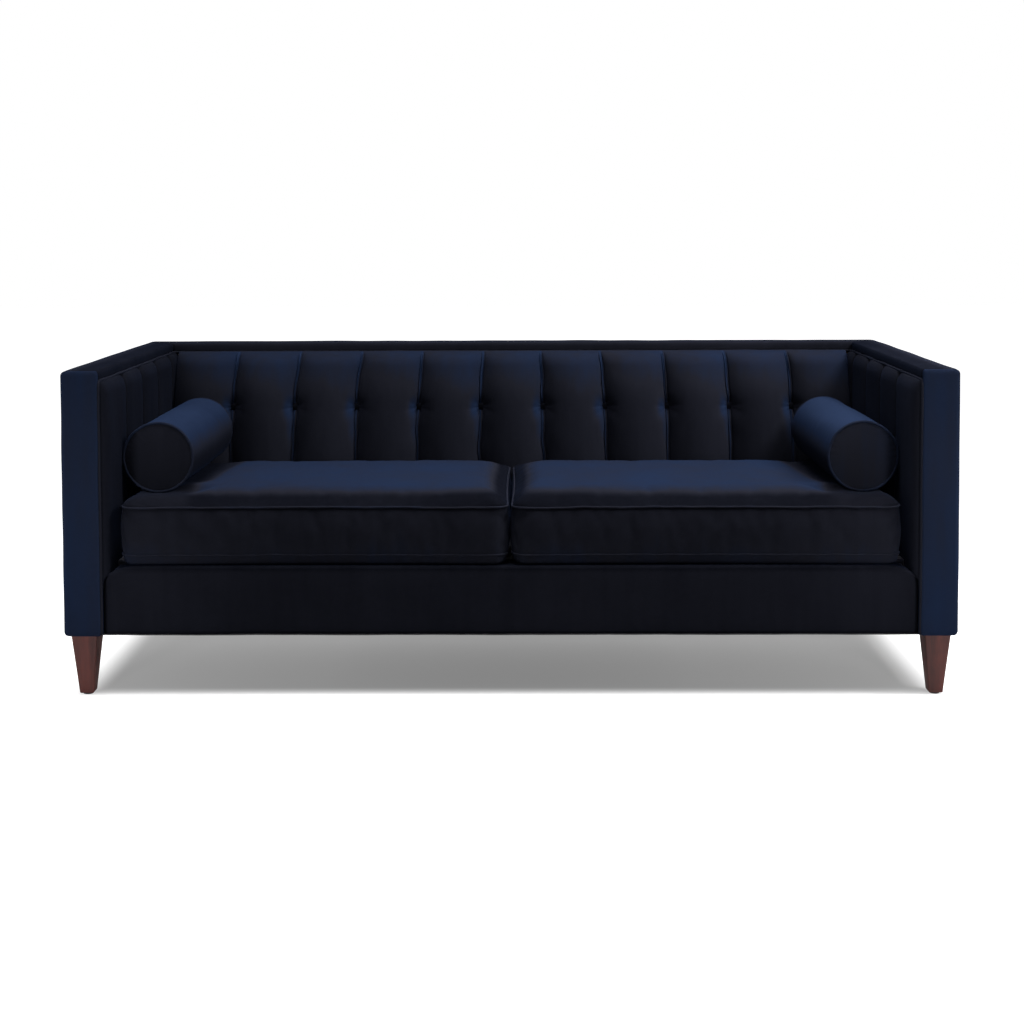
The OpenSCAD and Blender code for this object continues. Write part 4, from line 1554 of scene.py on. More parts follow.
@dataclass
class ArmPads:
    """The tight inner arms: upright channels with round tops below the band."""

    shop: Workshop
    planes: Planes
    skin: float = 0.005
    first_seam: float = 0.084
    channel: float = 0.163
    sink: float = 0.0060
    arch: float = 0.020
    roll: float = 0.034
    front_roll: float = 0.060
    front_power: float = 2.4
    under_front: float = 0.004
    lap: float = 0.0015
    swell_power: float = 3.0
    arch_power: float = 6.0
    sag: Waver = Waver(0.0012, 0.11, 81)
    # Painted shade on the left pad and on the right one, deeper on the left.
    naps: tuple[float, float] = (-0.62, -0.22)
    pleat: Pleat = Pleat(0.006, 0.0008, 0.0026, 0.0013)
    corner: BorderCorner = BorderCorner()

    def build(self) -> None:
        """Makes both pads."""
        for side in Side:
            self.pad(side)

    def pad(self, side: Side) -> None:
        """One pad: channels that swell by a power curve between sunk seams.

        The top of each channel is arched and rolls in below the band, the front rolls over to the
        arm front, and below the deck the pad stays clear of the border's round corner.

        Args:
            side: the arm's side.
        """
        p = self.planes
        low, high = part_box(f"arm_pad_{side.label}")
        _, border_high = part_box("front_border")
        length = high.y - low.y + self.under_front
        count = int((length - self.first_seam) / self.channel)
        row = Channels(np.array([0.0, *(self.first_seam + self.channel * np.arange(count)), length]))
        rolling = 1 - np.cos(np.linspace(0, math.pi / 2, 16))
        near_top = p.lip - (self.roll + self.arch) * rolling
        seat = p.deck + 0.02
        levels = np.concatenate([np.linspace(low.z, seat, 24), np.arange(seat, p.lip, 0.008), near_top])
        near_front = length - self.front_roll * rolling
        near_border = high.y - border_high.y + np.array([-0.012, -0.004, 0.0, 0.0005])
        along = np.unique(np.round(np.concatenate([row.places(), near_front, near_border]), 5))
        along, z = np.meshgrid(along, np.unique(np.round(levels, 4)))
        share, across, sewn = row.locate(along)
        swelling = channel_swell(share, self.swell_power)
        thick = p.pad_back_x - p.pad_x - self.skin
        arched = self.arch * (1 - channel_swell(share, self.arch_power, 0.5)) * sewn
        below = p.lip - 0.002 - z - arched
        waves = self.sag.at(np.stack([0 * z, along, z * 0.5], axis=-1), side)
        fold = self.pleat.relief(across) * sewn
        depth = thick - self.sink * (1 - swelling) * sewn + waves * swelling + fold
        depth *= quarter_roll(below, self.roll)
        depth *= quarter_roll(length - along, self.front_roll, self.front_power)
        free = p.pad_back_x - self.corner.reach(z, p.deck, p.band_x) + self.lap - self.skin
        over_border = high.y - along < border_high.y
        depth = np.where(over_border & (z < p.deck), np.minimum(depth, free), depth)
        flat = np.stack([np.full_like(z, p.pad_back_x), high.y - along, z], axis=-1)
        front = flat.copy()
        front[..., 0] -= self.skin + np.clip(depth, 0, None)
        node = f"arm_pad_{side.label}"
        surface = backed(front, flat).mirrored(side)
        # Each pad is darkened by painted shade.
        nap = self.naps[side is Side.RIGHT]
        self.shop.make(Piece(f"channelled_{node}", FRAME_BODY, Slot.VELVET, (node,), 0.7, nap), surface)


@dataclass
class SeatBase:
    """The padded front border, the deck under the cushions and the dust cover below the frame."""

    shop: Workshop
    planes: Planes
    edge: float = 0.008
    corner: BorderCorner = BorderCorner()
    swell: float = 0.003
    waver: Waver = Waver(0.0009, 0.19, 91)
    # Painted shade on the border's face, deeper along its upper edge.
    face_nap: float = -0.42
    upper_nap: float = -0.9
    deck_edge: float = 0.004
    deck_hollow: float = 0.003
    dust_thickness: float = 0.0008
    deck_waver: Waver = Waver(0.0005, 0.16, 95)
    dust_waver: Waver = Waver(0.0003, 0.12, 97)

    def build(self) -> None:
        """Makes the three covers."""
        self.border()
        self.deck()
        self.dust_cover()

    def border(self) -> None:
        """The border, lofted from end to end.

        Its upper edge seen from the front is a straight line that turns down in a quarter ellipse
        at each end. A section runs up the face, rolls over that edge in a quarter circle and goes
        back to the deck. The last sections at each end shrink likewise, so that the face's own
        end is rounded too.
        """
        low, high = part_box("front_border")
        angles = np.linspace(-math.pi / 2, 0, 27)
        wide, tall = self.corner.width, self.corner.height
        centre_x, centre_z = high.x - wide, high.z - tall
        lean = np.stack([np.sin(angles) / wide, np.cos(angles) / tall], axis=-1)
        lean /= np.linalg.norm(lean, axis=1, keepdims=True)
        left_x, left_z = wide * np.sin(angles) - centre_x, tall * np.cos(angles) + centre_z
        left = np.column_stack([left_x, left_z, lean])
        xs = np.linspace(-centre_x, centre_x, 140)[1:-1]
        middle = np.stack([xs, np.full_like(xs, high.z), 0 * xs, 1 + 0 * xs], axis=-1)
        right = left[::-1] * (-1, 1, -1, 1)
        edge = np.concatenate([left, middle, right])
        ex, ez, nx, nz = (edge[:, k, None] for k in range(4))
        climb = np.linspace(0, 1, 18)[None, :]
        roll = np.linspace(0, math.pi / 2, 9)[None, 1:]
        face_x = ex - nx * self.edge + 0 * climb
        face_z = low.z + (ez - nz * self.edge - low.z) * climb
        face_y = low.y - self.swell * bulge(climb, 2.5) * bulge((ex - low.x) / (high.x - low.x), 8.0)
        inset = self.edge * (1 - np.sin(roll))
        rolled = [ex - nx * inset, low.y + self.edge * (1 - np.cos(roll)) + 0 * ex, ez - nz * inset]
        depth = np.linspace(low.y + self.edge, high.y, 7)[None, 1:]
        top = [ex + 0 * depth, depth + 0 * ex, ez + 0 * depth]
        behind = [ex, high.y + 0 * ex, low.z + 0 * ex]
        face = [face_x, face_y, face_z]
        blocks = [np.concatenate(parts, axis=1) for parts in zip(face, rolled, top, behind)]
        sections = np.stack(blocks, axis=-1)
        turn = np.linspace(math.pi / 2, 0, 7)[:-1, None]
        ends = []
        for end in (0, -1):
            cap = np.broadcast_to(sections[end], (len(turn), *sections.shape[1:])).copy()
            reach = high.x - self.edge * (1 - np.sin(turn))
            cap[..., 0] = np.sign(cap[..., 0]) * np.maximum(np.abs(cap[..., 0]), reach)
            cap[..., 1] = np.maximum(cap[..., 1], low.y + self.edge * (1 - np.cos(turn)))
            ends.append(cap)
        sections = np.concatenate([ends[0], sections, ends[1][::-1]])
        surface = loft(sections)
        flat = surface.points[:, 1] < low.y + self.edge
        surface.points[:, 1] += self.waver.at(surface.points) * flat
        piece = Piece("velvet_front_border", FRAME_BODY, Slot.VELVET, ("front_border",), 0.7)
        made = self.shop.make(piece, surface)
        level = self.shop.places(made)[:, 2]
        # upper is the share of the deeper painted shade along the upper edge.
        upper = eased((level - high.z + 2 * self.edge) / (1.5 * self.edge))
        self.shop.brush(made, self.face_nap + (self.upper_nap - self.face_nap) * upper)

    def deck(self) -> None:
        """The cloth-covered deck: a flat panel, a little hollow in its middle."""
        low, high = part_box("seat_deck")
        panel = soft_panel(
            tuple(low),
            tuple(high),
            ((self.deck_edge,) * 3,) * 2,
            [Swell(2, 1, -self.deck_hollow)],
            step=0.03,
            waver=self.deck_waver,
        )
        self.shop.make(Piece("covered_seat_deck", FRAME_BODY, Slot.DECK, ("seat_deck",), 0.5), panel)

    def dust_cover(self) -> None:
        """Thin black cloth stapled taut under the frame: a flat sheet with a slight waviness."""
        low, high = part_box("dust_cover")
        levels = np.array([0, self.dust_thickness])
        grid = BoxGrid.of(np.linspace(low.x, high.x, 90), np.linspace(low.y, high.y, 40), levels)
        points = grid.points
        points[:, 2] += low.z + self.dust_thickness / 4 + self.dust_waver.at(points)
        piece = Piece("dust_cover_cloth", FRAME_BODY, Slot.CAMBRIC, ("dust_cover",))
        self.shop.make(piece, Surface(points, [grid.quads]))


@dataclass
class Legs:
    """Tapered square legs with slightly rounded arrises and a chamfered foot."""

    shop: Workshop
    foot_width: float = 0.033
    top_width: float = 0.062
    arris: float = 0.0022
    chamfer: float = 0.0015
    corner_steps: int = 5

    def outline(self, width: Array) -> Array:
        """Square sections, each with a quarter circle round the centre of every corner.

        Args:
            width: width of each section.

        Returns:
            The outlines, as sections, points and two coordinates.
        """
        turns = np.repeat(np.arange(4), self.corner_steps) * math.pi / 2
        angle = turns + np.tile(np.linspace(0, math.pi / 2, self.corner_steps), 4)
        diagonal = turns + math.pi / 4
        corner = np.sign(np.stack([np.cos(diagonal), np.sin(diagonal)], axis=-1))
        radial = np.stack([np.cos(angle), np.sin(angle)], axis=-1)
        return corner * (width[:, None, None] / 2 - self.arris) + radial * self.arris

    def build(self) -> None:
        """Makes the four legs."""
        for end in ("front", "rear"):
            for side in Side:
                self.leg(f"leg_{end}_{side.label}")

    def leg(self, node: str) -> None:
        """One leg, whose width grows evenly from its foot to its top.

        Args:
            node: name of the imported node.
        """
        low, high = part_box(node)
        shaft = np.linspace(low.z + 2 * self.chamfer, high.z - self.chamfer / 2, 14)
        levels = np.array([low.z, low.z + self.chamfer, *shaft, high.z])
        share = (levels - low.z) / (high.z - low.z)
        width = self.foot_width + (self.top_width - self.foot_width) * share
        width[0] -= 2 * self.chamfer
        flat = self.outline(width) + ((low.x + high.x) / 2, (low.y + high.y) / 2)
        raised = np.broadcast_to(levels[:, None, None], (*flat.shape[:2], 1))
        sections = np.concatenate([flat, raised], axis=-1)
        self.shop.make(Piece(f"wooden_{node}", FRAME_BODY, Slot.LEG_WOOD, (node,)), loft(sections))


@dataclass
class Bolster:
    """A round bolster with a welt and a softly puckered panel at each end."""

    shop: Workshop
    side: Side
    welt_radius: float = 0.0034
    welt_stand: float = 0.0012
    cap: float = 0.007
    cap_power: float = 0.8
    around: int = 144
    pucker: float = 0.0011
    side_pucker: float = 0.0007
    pucker_reach: float = 0.011
    side_pucker_reach: float = 0.016
    folds: Waver = Waver(1.0, 0.012, 101)
    least_fold: float = 0.35
    seam_sink: float = 0.0012
    seam_reach: float = 0.002
    side_sink: float = 0.0016
    side_reach: float = 0.005
    waver: Waver = Waver(0.0009, 0.10, 105)
    welt_waver: Waver = Waver(0.0003, 0.05, 107)
    # Painted light: a painted highlight on top of the tube, brighter on the right bolster, painted
    # shade below it, an even tone on the end panels that is painted shade on the left bolster, and
    # lighter welts.
    side_naps: tuple[float, float] = (1.45, 2.0)
    low_nap: float = -0.35
    end_naps: tuple[float, float] = (-0.35, 0.05)
    welt_nap: float = 0.4

    @property
    def node(self) -> str:
        """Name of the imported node."""
        return f"bolster_{self.side.label}"

    @property
    def sizes(self) -> tuple[Array, float, float]:
        """The bolster's middle, its radius without the welts and half its length without caps."""
        low, high = (np.array(corner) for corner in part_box(self.node))
        return (low + high) / 2, (high - low)[0] / 2 - self.welt_stand, (high - low)[1] / 2 - self.cap

    @property
    def angle(self) -> Array:
        """Directions round the bolster."""
        return np.linspace(0, 2 * math.pi, self.around, endpoint=False)

    @property
    def rim(self) -> Array:
        """The circle on which the end panels are sewn, round the middle of each end."""
        _, radius, _ = self.sizes
        return np.column_stack([np.cos(self.angle), np.sin(self.angle), 0 * self.angle]) * radius

    def around_middle(self, radius: Array, along: Array) -> Array:
        """Points at a radius in every direction and at places along the middle line.

        Args:
            radius: radius of each point, with one column for each direction.
            along: place of each point along the bolster.

        Returns:
            The points, as rows, directions and coordinates.
        """
        middle, _, _ = self.sizes
        rings = np.stack([radius * np.cos(self.angle), along, radius * np.sin(self.angle)], axis=-1)
        return middle + rings

    def build(self) -> None:
        """Makes the bolster's cover and its two end welts."""
        self.cover()
        for end, word in ((-1, "front"), (1, "rear")):
            self.welt(end, word)

    def cover(self) -> None:
        """The cover: a dome, a tube and a dome in rings round the middle line.

        A dome is a power of a parabola. Puckers are a ripple round the rim, strongest above, that
        dies away by e ^ -distance on both sides of the seam, and the seam itself sinks likewise.
        """
        middle, radius, half = self.sizes
        angle = self.angle[None, :]
        inward = np.linspace(0, 1, 26)[:, None]
        disc = radius * np.sin(inward * math.pi / 2)
        gap = radius - disc
        dome = self.cap * (1 - (disc / radius) ** 2) ** self.cap_power
        upper = eased(0.5 + 0.5 * np.sin(angle + 0.4 * self.side.value))
        strength = self.least_fold + (1 - self.least_fold) * upper
        folds = self.folds.at(self.rim, self.side)[None, :] * strength
        puckers = self.pucker * folds * np.exp(-gap / self.pucker_reach) * eased(gap / 0.004)
        disc_y = half + dome + puckers - self.seam_sink * np.exp(-gap / self.seam_reach)
        along = np.linspace(0.5, -0.5, 74)[1:-1, None] * 2 * half
        edge_gap = half - np.abs(along)
        tubular = radius - self.side_sink * np.exp(-edge_gap / self.side_reach) + 0 * angle
        tubular += self.side_pucker * folds * np.exp(-edge_gap / self.side_pucker_reach)
        across, up = np.cos(angle) * radius + 0 * along, np.sin(angle) * radius + 0 * along
        tubular += self.waver.at(np.stack([across, up, along * 0.35 + 0 * angle], axis=-1), self.side)
        disc = disc + 0 * angle
        rings = np.concatenate([disc, tubular, disc[::-1]])
        places = np.concatenate([disc_y, along + 0 * angle, -disc_y[::-1]])
        points = self.around_middle(rings, places).reshape(-1, 3)
        piece = Piece(f"velvet_{self.node}", self.node, Slot.VELVET, (self.node,), 0.85)
        quads = grid_quads(len(rings), self.around, wrap_columns=True)
        made = self.shop.make(piece, Surface(points, [quads]), weld=1e-5)
        self.shop.brush(made, self.nap(self.shop.places(made) - middle, radius, half))

    def nap(self, places: Array, radius: float, half: float) -> Array:
        """Painted light: a painted highlight towards the top of the tube, painted shade below it, and
        an even tone on the end panels.

        Args:
            places: points round the bolster's middle.
            radius: radius of the tube.
            half: half of its length.

        Returns:
            The painted light at each point.
        """
        right = self.side is Side.RIGHT
        end = np.abs(places[:, 1]) > half - 0.003
        height = eased(places[:, 2] / radius * 0.90 + 0.22)
        tubular = self.low_nap + (self.side_naps[right] - self.low_nap) * height
        return np.where(end, self.end_naps[right], tubular)

    def welt(self, end: int, word: str) -> None:
        """The welt of one end: a cord on a circle with a slight waver.

        Args:
            end: -1 for the front end and 1 for the rear one.
            word: the end's word in the piece's name.
        """
        _, radius, half = self.sizes
        ring = radius + self.welt_stand - self.welt_radius + self.welt_waver.at(self.rim)
        path = self.around_middle(ring, np.full_like(ring, end * half))
        cord = tube(path, self.welt_radius, 10, closed=True)
        piece = Piece(f"{self.node}_{word}_welt", self.node, Slot.VELVET, nap=self.welt_nap)
        self.shop.make(piece, cord)


@dataclass
class SeatCushion:
    """A loose box cushion: crowned panels, a boxing between two welts and a zip at the back."""

    shop: Workshop
    side: Side
    belly: float = 0.025
    belly_power: float = 60.0
    boxing: float = 0.115
    boxing_swell: float = 0.003
    crown: float = 0.026
    crown_power: float = 10.0
    rear_power: float = 2.5
    rear_fall_share: float = 0.30
    roundness: float = 0.55
    front_corner: float = 0.034
    rear_corner: float = 0.040
    corner_dip: float = 0.003
    draw_in: float = 0.005
    waver: Waver = Waver(0.0009, 0.14, 111)
    welt_radius: float = 0.0026
    welt_stand: float = 0.25
    welt_step: float = 0.006
    welt_waver: Waver = Waver(0.0005, 0.06, 121)
    edge_places: tuple[float, ...] = (
        0.0, 0.0015, 0.004, 0.008, 0.013, 0.019, 0.026, 0.035, 0.046, 0.060
    )
    step: float = 0.0125
    clearance: float = 0.0014
    side_by: float = 0.007
    side_reach: float = 0.042
    ahead_reach: float = 0.070
    ahead_rise: float = 0.004
    bolster_lap: float = 0.005
    end_gap: float = 0.01
    end_reaches: tuple[float, float] = (0.16, 0.14)
    pressure: float = 4.0
    shrink: float = -0.012
    frames: int = 20
    most_move: float = 0.012
    # Painted light on the cover: the lit top, painted shade towards its edge, a painted shadow in a
    # wedge beside the bolster, and on the boxing painted light, lighter at the bottom and painted shade
    # at the top.
    top_nap: float = 0.8
    rim_nap: float = -1.0
    hollow_nap: float = -0.7
    lit_powers: tuple[float, float] = (14.0, 6.0)
    lit_from: float = 0.74
    lit_share: float = 0.25
    wedge_front: float = 0.026
    wedge_growth: float = 0.052
    wedge_fade: float = 0.040
    boxing_naps: tuple[float, float] = (0.1, -0.5)
    welt_nap: float = 0.0
    zip_stand: float = 0.0035
    coil_pitch: float = 0.0045
    coil_radii: tuple[float, float] = (0.0005, 0.0021)
    teeth_stand: float = 0.0009
    tooth_radius: float = 0.0006

    @property
    def node(self) -> str:
        """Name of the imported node."""
        return f"seat_cushion_{self.side.label}"

    @property
    def span(self) -> tuple[Array, Array]:
        """Lowest and highest corner of the cushion.

        Returns:
            Both corners, without the welts in plan.
        """
        low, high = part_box(self.node)
        welt = np.array([self.welt_radius, self.welt_radius, 0.0])
        return np.array(low) + welt, np.array(high) - welt

    @property
    def bolster(self) -> tuple[Array, Array]:
        """Lowest and highest corner of the bolster that lies on the cushion."""
        low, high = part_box(f"bolster_{self.side.label}")
        return np.array(low), np.array(high)

    def grid(self) -> BoxGrid:
        """The cushion's outside as a box grid, before it gets its form.

        Returns:
            The grid, with metres round the cushion's middle along X and Y and shares of the
            boxing's height along Z.
        """
        low, high = self.span
        half = (high - low)[:2] / 2
        edge = np.array(self.edge_places)
        places = []
        for reach in half:
            inner = reach - edge[-1]
            middle = np.linspace(-inner, inner, round(2 * inner / self.step) + 1)
            places.append(np.unique(np.round(np.concatenate([edge - reach, middle, reach - edge]), 6)))
        front = self.bolster[0][1] - (low[1] + high[1]) / 2
        near = np.abs(places[1] - front) < 0.012
        beside = front + np.array([-0.013, -0.004, 0.003])
        places[1] = np.sort(np.concatenate([places[1][~near], beside]))
        return BoxGrid.of(*places, np.linspace(0, 1, 11))

    def plan(self, flat: Array, half: Array) -> tuple[Array, Array]:
        """Pulls the corners onto quarter discs, by scaling the square round each disc's centre.

        Args:
            flat: places in plan round the cushion's middle.
            half: half of its length and width.

        Returns:
            The new places and their outward directions.
        """
        sign = np.sign(flat)
        corner = np.where(flat[:, 1] > 0, self.rear_corner, self.front_corner)[:, None]
        over = np.clip(np.abs(flat) - (half - corner), 0, None)
        length = np.maximum(np.hypot(*over.T), TINY)[:, None]
        in_corner = (over > 0).all(axis=1, keepdims=True)
        scale = np.where(in_corner, over.max(axis=1, keepdims=True) / length, 1.0)
        return sign * (np.minimum(np.abs(flat), half - corner) + over * scale), sign * over / length

    def fall(self, share: Array, power: Array | float) -> Array:
        """Falls from 1 in the middle to 0 at the outline, with full corners.

        It is a soft least of (1 - share ^ power) ^ roundness along both axes.

        Args:
            share: share of the way from the middle to the outline along both axes.
            power: power along both axes.

        Returns:
            The fall at each point.
        """
        sides = np.maximum(1 - share**power, 1e-6) ** self.roundness
        return (sides**-3).sum(axis=1) ** (-1 / 3) * 2 ** (1 / 3) * (share.max(axis=1) < 1)

    def form(self, grid: BoxGrid) -> Array:
        """Bends the box grid into the cushion.

        The sides draw in by a parabola. The top rises by the crown times its fall to the sides,
        which is slower towards the rear, and the under panel's edge rises likewise. The boxing
        swells by a parabola over its height, and the rear corners dip.

        Args:
            grid: the box grid.

        Returns:
            The points of the cushion.
        """
        low, high = self.span
        half = (high - low)[:2] / 2
        flat, level = grid.points[:, :2], grid.points[:, 2]
        plan, outward = self.plan(flat, half)
        share = np.minimum(np.abs(flat) / half, 1)
        plan -= np.sign(flat) * self.draw_in * (1 - share[:, ::-1] ** 2) * share
        across = np.full(len(flat), self.crown_power)
        along = np.where(flat[:, 1] > 0, self.rear_power, self.crown_power)
        power = np.column_stack([across, along])
        rearward = np.clip(flat[:, 1] / half[1], 0, 1)
        crown = self.crown * self.fall(share, power) * (1 - self.rear_fall_share * rearward**1.5)
        rise = self.belly * (1 - self.fall(share, self.belly_power))
        dip = self.corner_dip * (share[:, 0] * share[:, 1] * (flat[:, 1] > 0)) ** 9
        welt_low = low[2] + self.belly
        height = welt_low + level * (self.boxing - dip)
        height = np.where(level == 1, height + crown, height)
        height = np.where(level == 0, low[2] + rise, height)
        waist = (level > 0) & (level < 1)
        plan += outward * (self.boxing_swell * bulge(level, 2.0) * waist)[:, None]
        points = np.column_stack([plan + (low + high)[:2] / 2, height])
        points[:, 2] += self.waver.at(points * (1, 1, 0), self.side) * (level == 1)
        return self.pressed(points, level)

    def middle_share(self, points: Array, low: Array, high: Array) -> Array:
        """1 along the middle of the bolster, eased to 0 at its ends."""
        front, rear = points[:, 1] - low[1] + self.end_gap, high[1] - self.end_gap - points[:, 1]
        return eased(front / self.end_reaches[0]) * eased(rear / self.end_reaches[1])

    def pressed(self, points: Array, level: Array) -> Array:
        """Lowers the top panel to a hollow round the bolster.

        The hollow is a circle round the bolster's middle line. Beside the bolster and ahead of it
        the panel sinks by bell curves of the distance.

        Args:
            points: points of the cushion.
            level: each point's share of the boxing's height, which is 1 on the top panel.

        Returns:
            The moved points.
        """
        low, high = self.bolster
        centre = (low + high) / 2
        reach = (high[0] - low[0]) / 2 + self.clearance
        off = points[:, 0] - centre[0]
        ceiling = centre[2] - np.sqrt(np.clip(reach**2 - off**2, 0, None))
        beside = bell(np.clip(-self.side.value * off - reach, 0, None), self.side_reach)
        points[:, 2] -= self.side_by * beside * self.middle_share(points, low, high) * (level == 1)
        ahead = bell(np.clip(low[1] - points[:, 1], 0, None), self.ahead_reach)
        above = np.clip(points[:, 2] - low[2] - self.ahead_rise, 0, None)
        in_front = (points[:, 1] < low[1] + self.bolster_lap) & (level == 1)
        points[:, 2] -= above * ahead * beside * in_front
        under = (np.abs(off) < reach) & (points[:, 1] > low[1] - self.bolster_lap) & (level == 1)
        points[:, 2] = np.where(under, np.minimum(points[:, 2], ceiling), points[:, 2])
        return points

    def lens(self, points: Array, low: Array, high: Array) -> Array:
        """Where a painted shadow darkens the top beside the bolster: a wedge whose width grows to the
        rear.

        Args:
            points: points of the cushion.
            low: lowest corner of the bolster.
            high: highest corner of the bolster.

        Returns:
            1 in the wedge, eased to 0 beside it.
        """
        along = np.clip((points[:, 1] - low[1]) / (high[1] - low[1]), 0, 1)
        inner = self.side.value * ((low[0] + high[0]) / 2 - points[:, 0]) - (high[0] - low[0]) / 2
        return eased((self.wedge_front + self.wedge_growth * along - inner) / self.wedge_fade)

    def simulate(self, made: bpy.types.Object, grid: BoxGrid) -> None:
        """Blows the cover up as cloth between its seams, then keeps the result.

        The under panel and the upper seam are held, no point moves further than most_move, and
        the bolster's hollow is pressed in again.

        Args:
            made: the cover.
            grid: the box grid that it was formed from.
        """
        rest = self.shop.places(made)
        level = grid.shares[:, 2]
        held = made.vertex_groups.new(name="held")
        pinned = np.concatenate([np.flatnonzero(level == 0), grid.ring(-1)])
        held.add(np.unique(pinned).tolist(), 1.0, "REPLACE")
        blown = self.blown(made, held)
        made.vertex_groups.remove(held)
        step = blown - rest
        length = np.linalg.norm(step, axis=1, keepdims=True)
        step *= np.minimum(1, self.most_move / np.maximum(length, TINY))
        made.data.vertices.foreach_set("co", self.pressed(rest + step, level).ravel())
        made.data.update()
        LOG.info("%s: cloth moved it %.1f mm at most", made.name, 1000 * length.max())

    def blown(self, made: bpy.types.Object, held: bpy.types.VertexGroup) -> Array:
        """Runs the cloth simulation.

        Args:
            made: the cover.
            held: the points that stay where they are.

        Returns:
            The cover's points after the last frame.
        """
        cloth = made.modifiers.new("cloth", "CLOTH")
        settings = cloth.settings
        settings.quality = 6
        settings.mass = 0.3
        settings.tension_stiffness = 22
        settings.compression_stiffness = 22
        settings.shear_stiffness = 8
        settings.bending_stiffness = 0.6
        settings.use_pressure = True
        settings.uniform_pressure_force = self.pressure
        settings.shrink_min = self.shrink
        settings.vertex_group_mass = held.name
        settings.effector_weights.gravity = 0
        cloth.collision_settings.use_collision = False
        scene = bpy.context.scene
        cloth.point_cache.frame_start = 1
        cloth.point_cache.frame_end = self.frames
        for frame in range(1, self.frames + 1):
            scene.frame_set(frame)
        moved = self.shop.places(made.evaluated_get(bpy.context.evaluated_depsgraph_get()))
        made.modifiers.remove(cloth)
        scene.frame_set(1)
        return moved

    def nap(self, grid: BoxGrid, points: Array) -> Array:
        """Painted light: lit on the top, painted shade towards its edge and a painted shadow beside the
        bolster.

        The top's light falls to the sides as its form does, by other powers, and the boxing's
        painted light changes evenly with the height.

        Args:
            grid: the box grid.
            points: points of the cushion.

        Returns:
            The painted light at each point.
        """
        low, high = self.span
        level = grid.shares[:, 2]
        share = np.minimum(np.abs(grid.points[:, :2]) / ((high - low)[:2] / 2), 1)
        lit = eased((self.fall(share, np.array(self.lit_powers)) - self.lit_from) / self.lit_share)
        top = self.rim_nap + (self.top_nap - self.rim_nap) * lit
        # The wedge beside the bolster gets the painted shadow.
        top += (self.hollow_nap - top) * self.lens(points, *self.bolster)
        boxing = self.boxing_naps[0] + (self.boxing_naps[1] - self.boxing_naps[0]) * level
        return np.where(level == 1, top, boxing)

    def build(self) -> None:
        """Makes the cover, its two welts and its zip."""
        grid = self.grid()
        points = self.form(grid)
        piece = Piece(f"velvet_{self.node}", self.node, Slot.VELVET, (self.node,), 0.7)
        made = self.shop.make(piece, Surface(points, [grid.quads]))
        self.shop.brush(made, self.nap(grid, points))
        self.simulate(made, grid)
        final = self.shop.places(made)
        smoother = made.modifiers.new("smoother", "SUBSURF")
        smoother.levels = 1
        smoother.render_levels = 1
        for end, word in ((-1, "upper"), (0, "lower")):
            self.welt(final[grid.ring(end)], word)
        self.zip()

    def welt(self, ring: Array, word: str) -> None:
        """A cord sewn along one seam, which stands out of it by a share of its radius.

        Args:
            ring: the points of the seam.
            word: the seam's word in the piece's name.
        """
        low, high = self.span
        path = even_path(ring, self.welt_step, closed=True)
        flat = path[:, :2] - (low + high)[:2] / 2
        _, outward = self.plan(flat * 1.02, (high - low)[:2] / 2)
        path[:, :2] += outward * self.welt_radius * self.welt_stand
        path[:, 2] += self.welt_waver.at(path, self.side)
        cord = tube(path, self.welt_radius, 10, closed=True)
        piece = Piece(f"{self.node}_{word}_welt", self.node, Slot.VELVET, nap=self.welt_nap)
        self.shop.make(piece, cord)

    def zip(self) -> None:
        """Zip tape let into the back of the boxing, with a helix as its coil and a slider."""
        node = f"seat_zip_{self.side.label}"
        low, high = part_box(node)
        out = high.y + self.zip_stand
        tape = soft_panel(
            tuple(low), (high.x, out, high.z), ((0.0005,) * 3, (0.0007,) * 3), step=0.01
        )
        turns = np.linspace(low.x + 0.012, high.x - 0.012, 900)
        mid = (low.z + high.z) / 2
        phase = turns * 2 * math.pi / self.coil_pitch
        deep, tall = self.coil_radii
        centre = out + self.teeth_stand
        coil = np.stack([turns, centre + deep * np.cos(phase), mid + tall * np.sin(phase)], axis=-1)
        teeth = tube(coil, self.tooth_radius, 5)
        slider = soft_panel(
            (high.x - 0.034, out - 0.001, mid - 0.005),
            (high.x - 0.022, out + self.zip_stand, mid + 0.005),
            ((0.001,) * 3, (0.001,) * 3),
            step=0.004,
        )
        self.shop.make(Piece(f"{self.node}_zip", self.node, Slot.ZIP, (node,)), tape.joined(teeth))
        self.shop.make(Piece(f"{self.node}_zip_slider", self.node, Slot.STEEL), slider)


# Studio


@dataclass(frozen=True)
class Lamp:
    """A soft area light aimed at a point."""

    name: str
    place: tuple[float, float, float]
    target: tuple[float, float, float]
    size: tuple[float, float]
    watts: float
    spread: float = 180.0

    def build(self) -> None:
        """Adds the light, which shines along its own -Z from its place to its target.

        A lamp overhead keeps its width along X, and any other one keeps it level.
        """
        data = bpy.data.lights.new(self.name, "AREA")
        data.shape = "RECTANGLE"
        data.size, data.size_y = self.size
        data.energy = self.watts
        data.spread = math.radians(self.spread)
        lamp = bpy.data.objects.new(self.name, data)
        aim = np.array(self.target) - np.array(self.place)
        aim /= np.linalg.norm(aim)
        steep = abs(aim[2]) > 0.99
        side = np.array([1.0, 0.0, 0.0]) if steep else np.cross(aim, (0.0, 0.0, 1.0))
        side /= np.linalg.norm(side)
        up = np.cross(side, aim)
        turn = np.eye(4)
        turn[:3, 0], turn[:3, 1], turn[:3, 2], turn[:3, 3] = side, up, -aim, self.place
        lamp.matrix_world = Matrix(turn.tolist())
        bpy.context.scene.collection.objects.link(lamp)


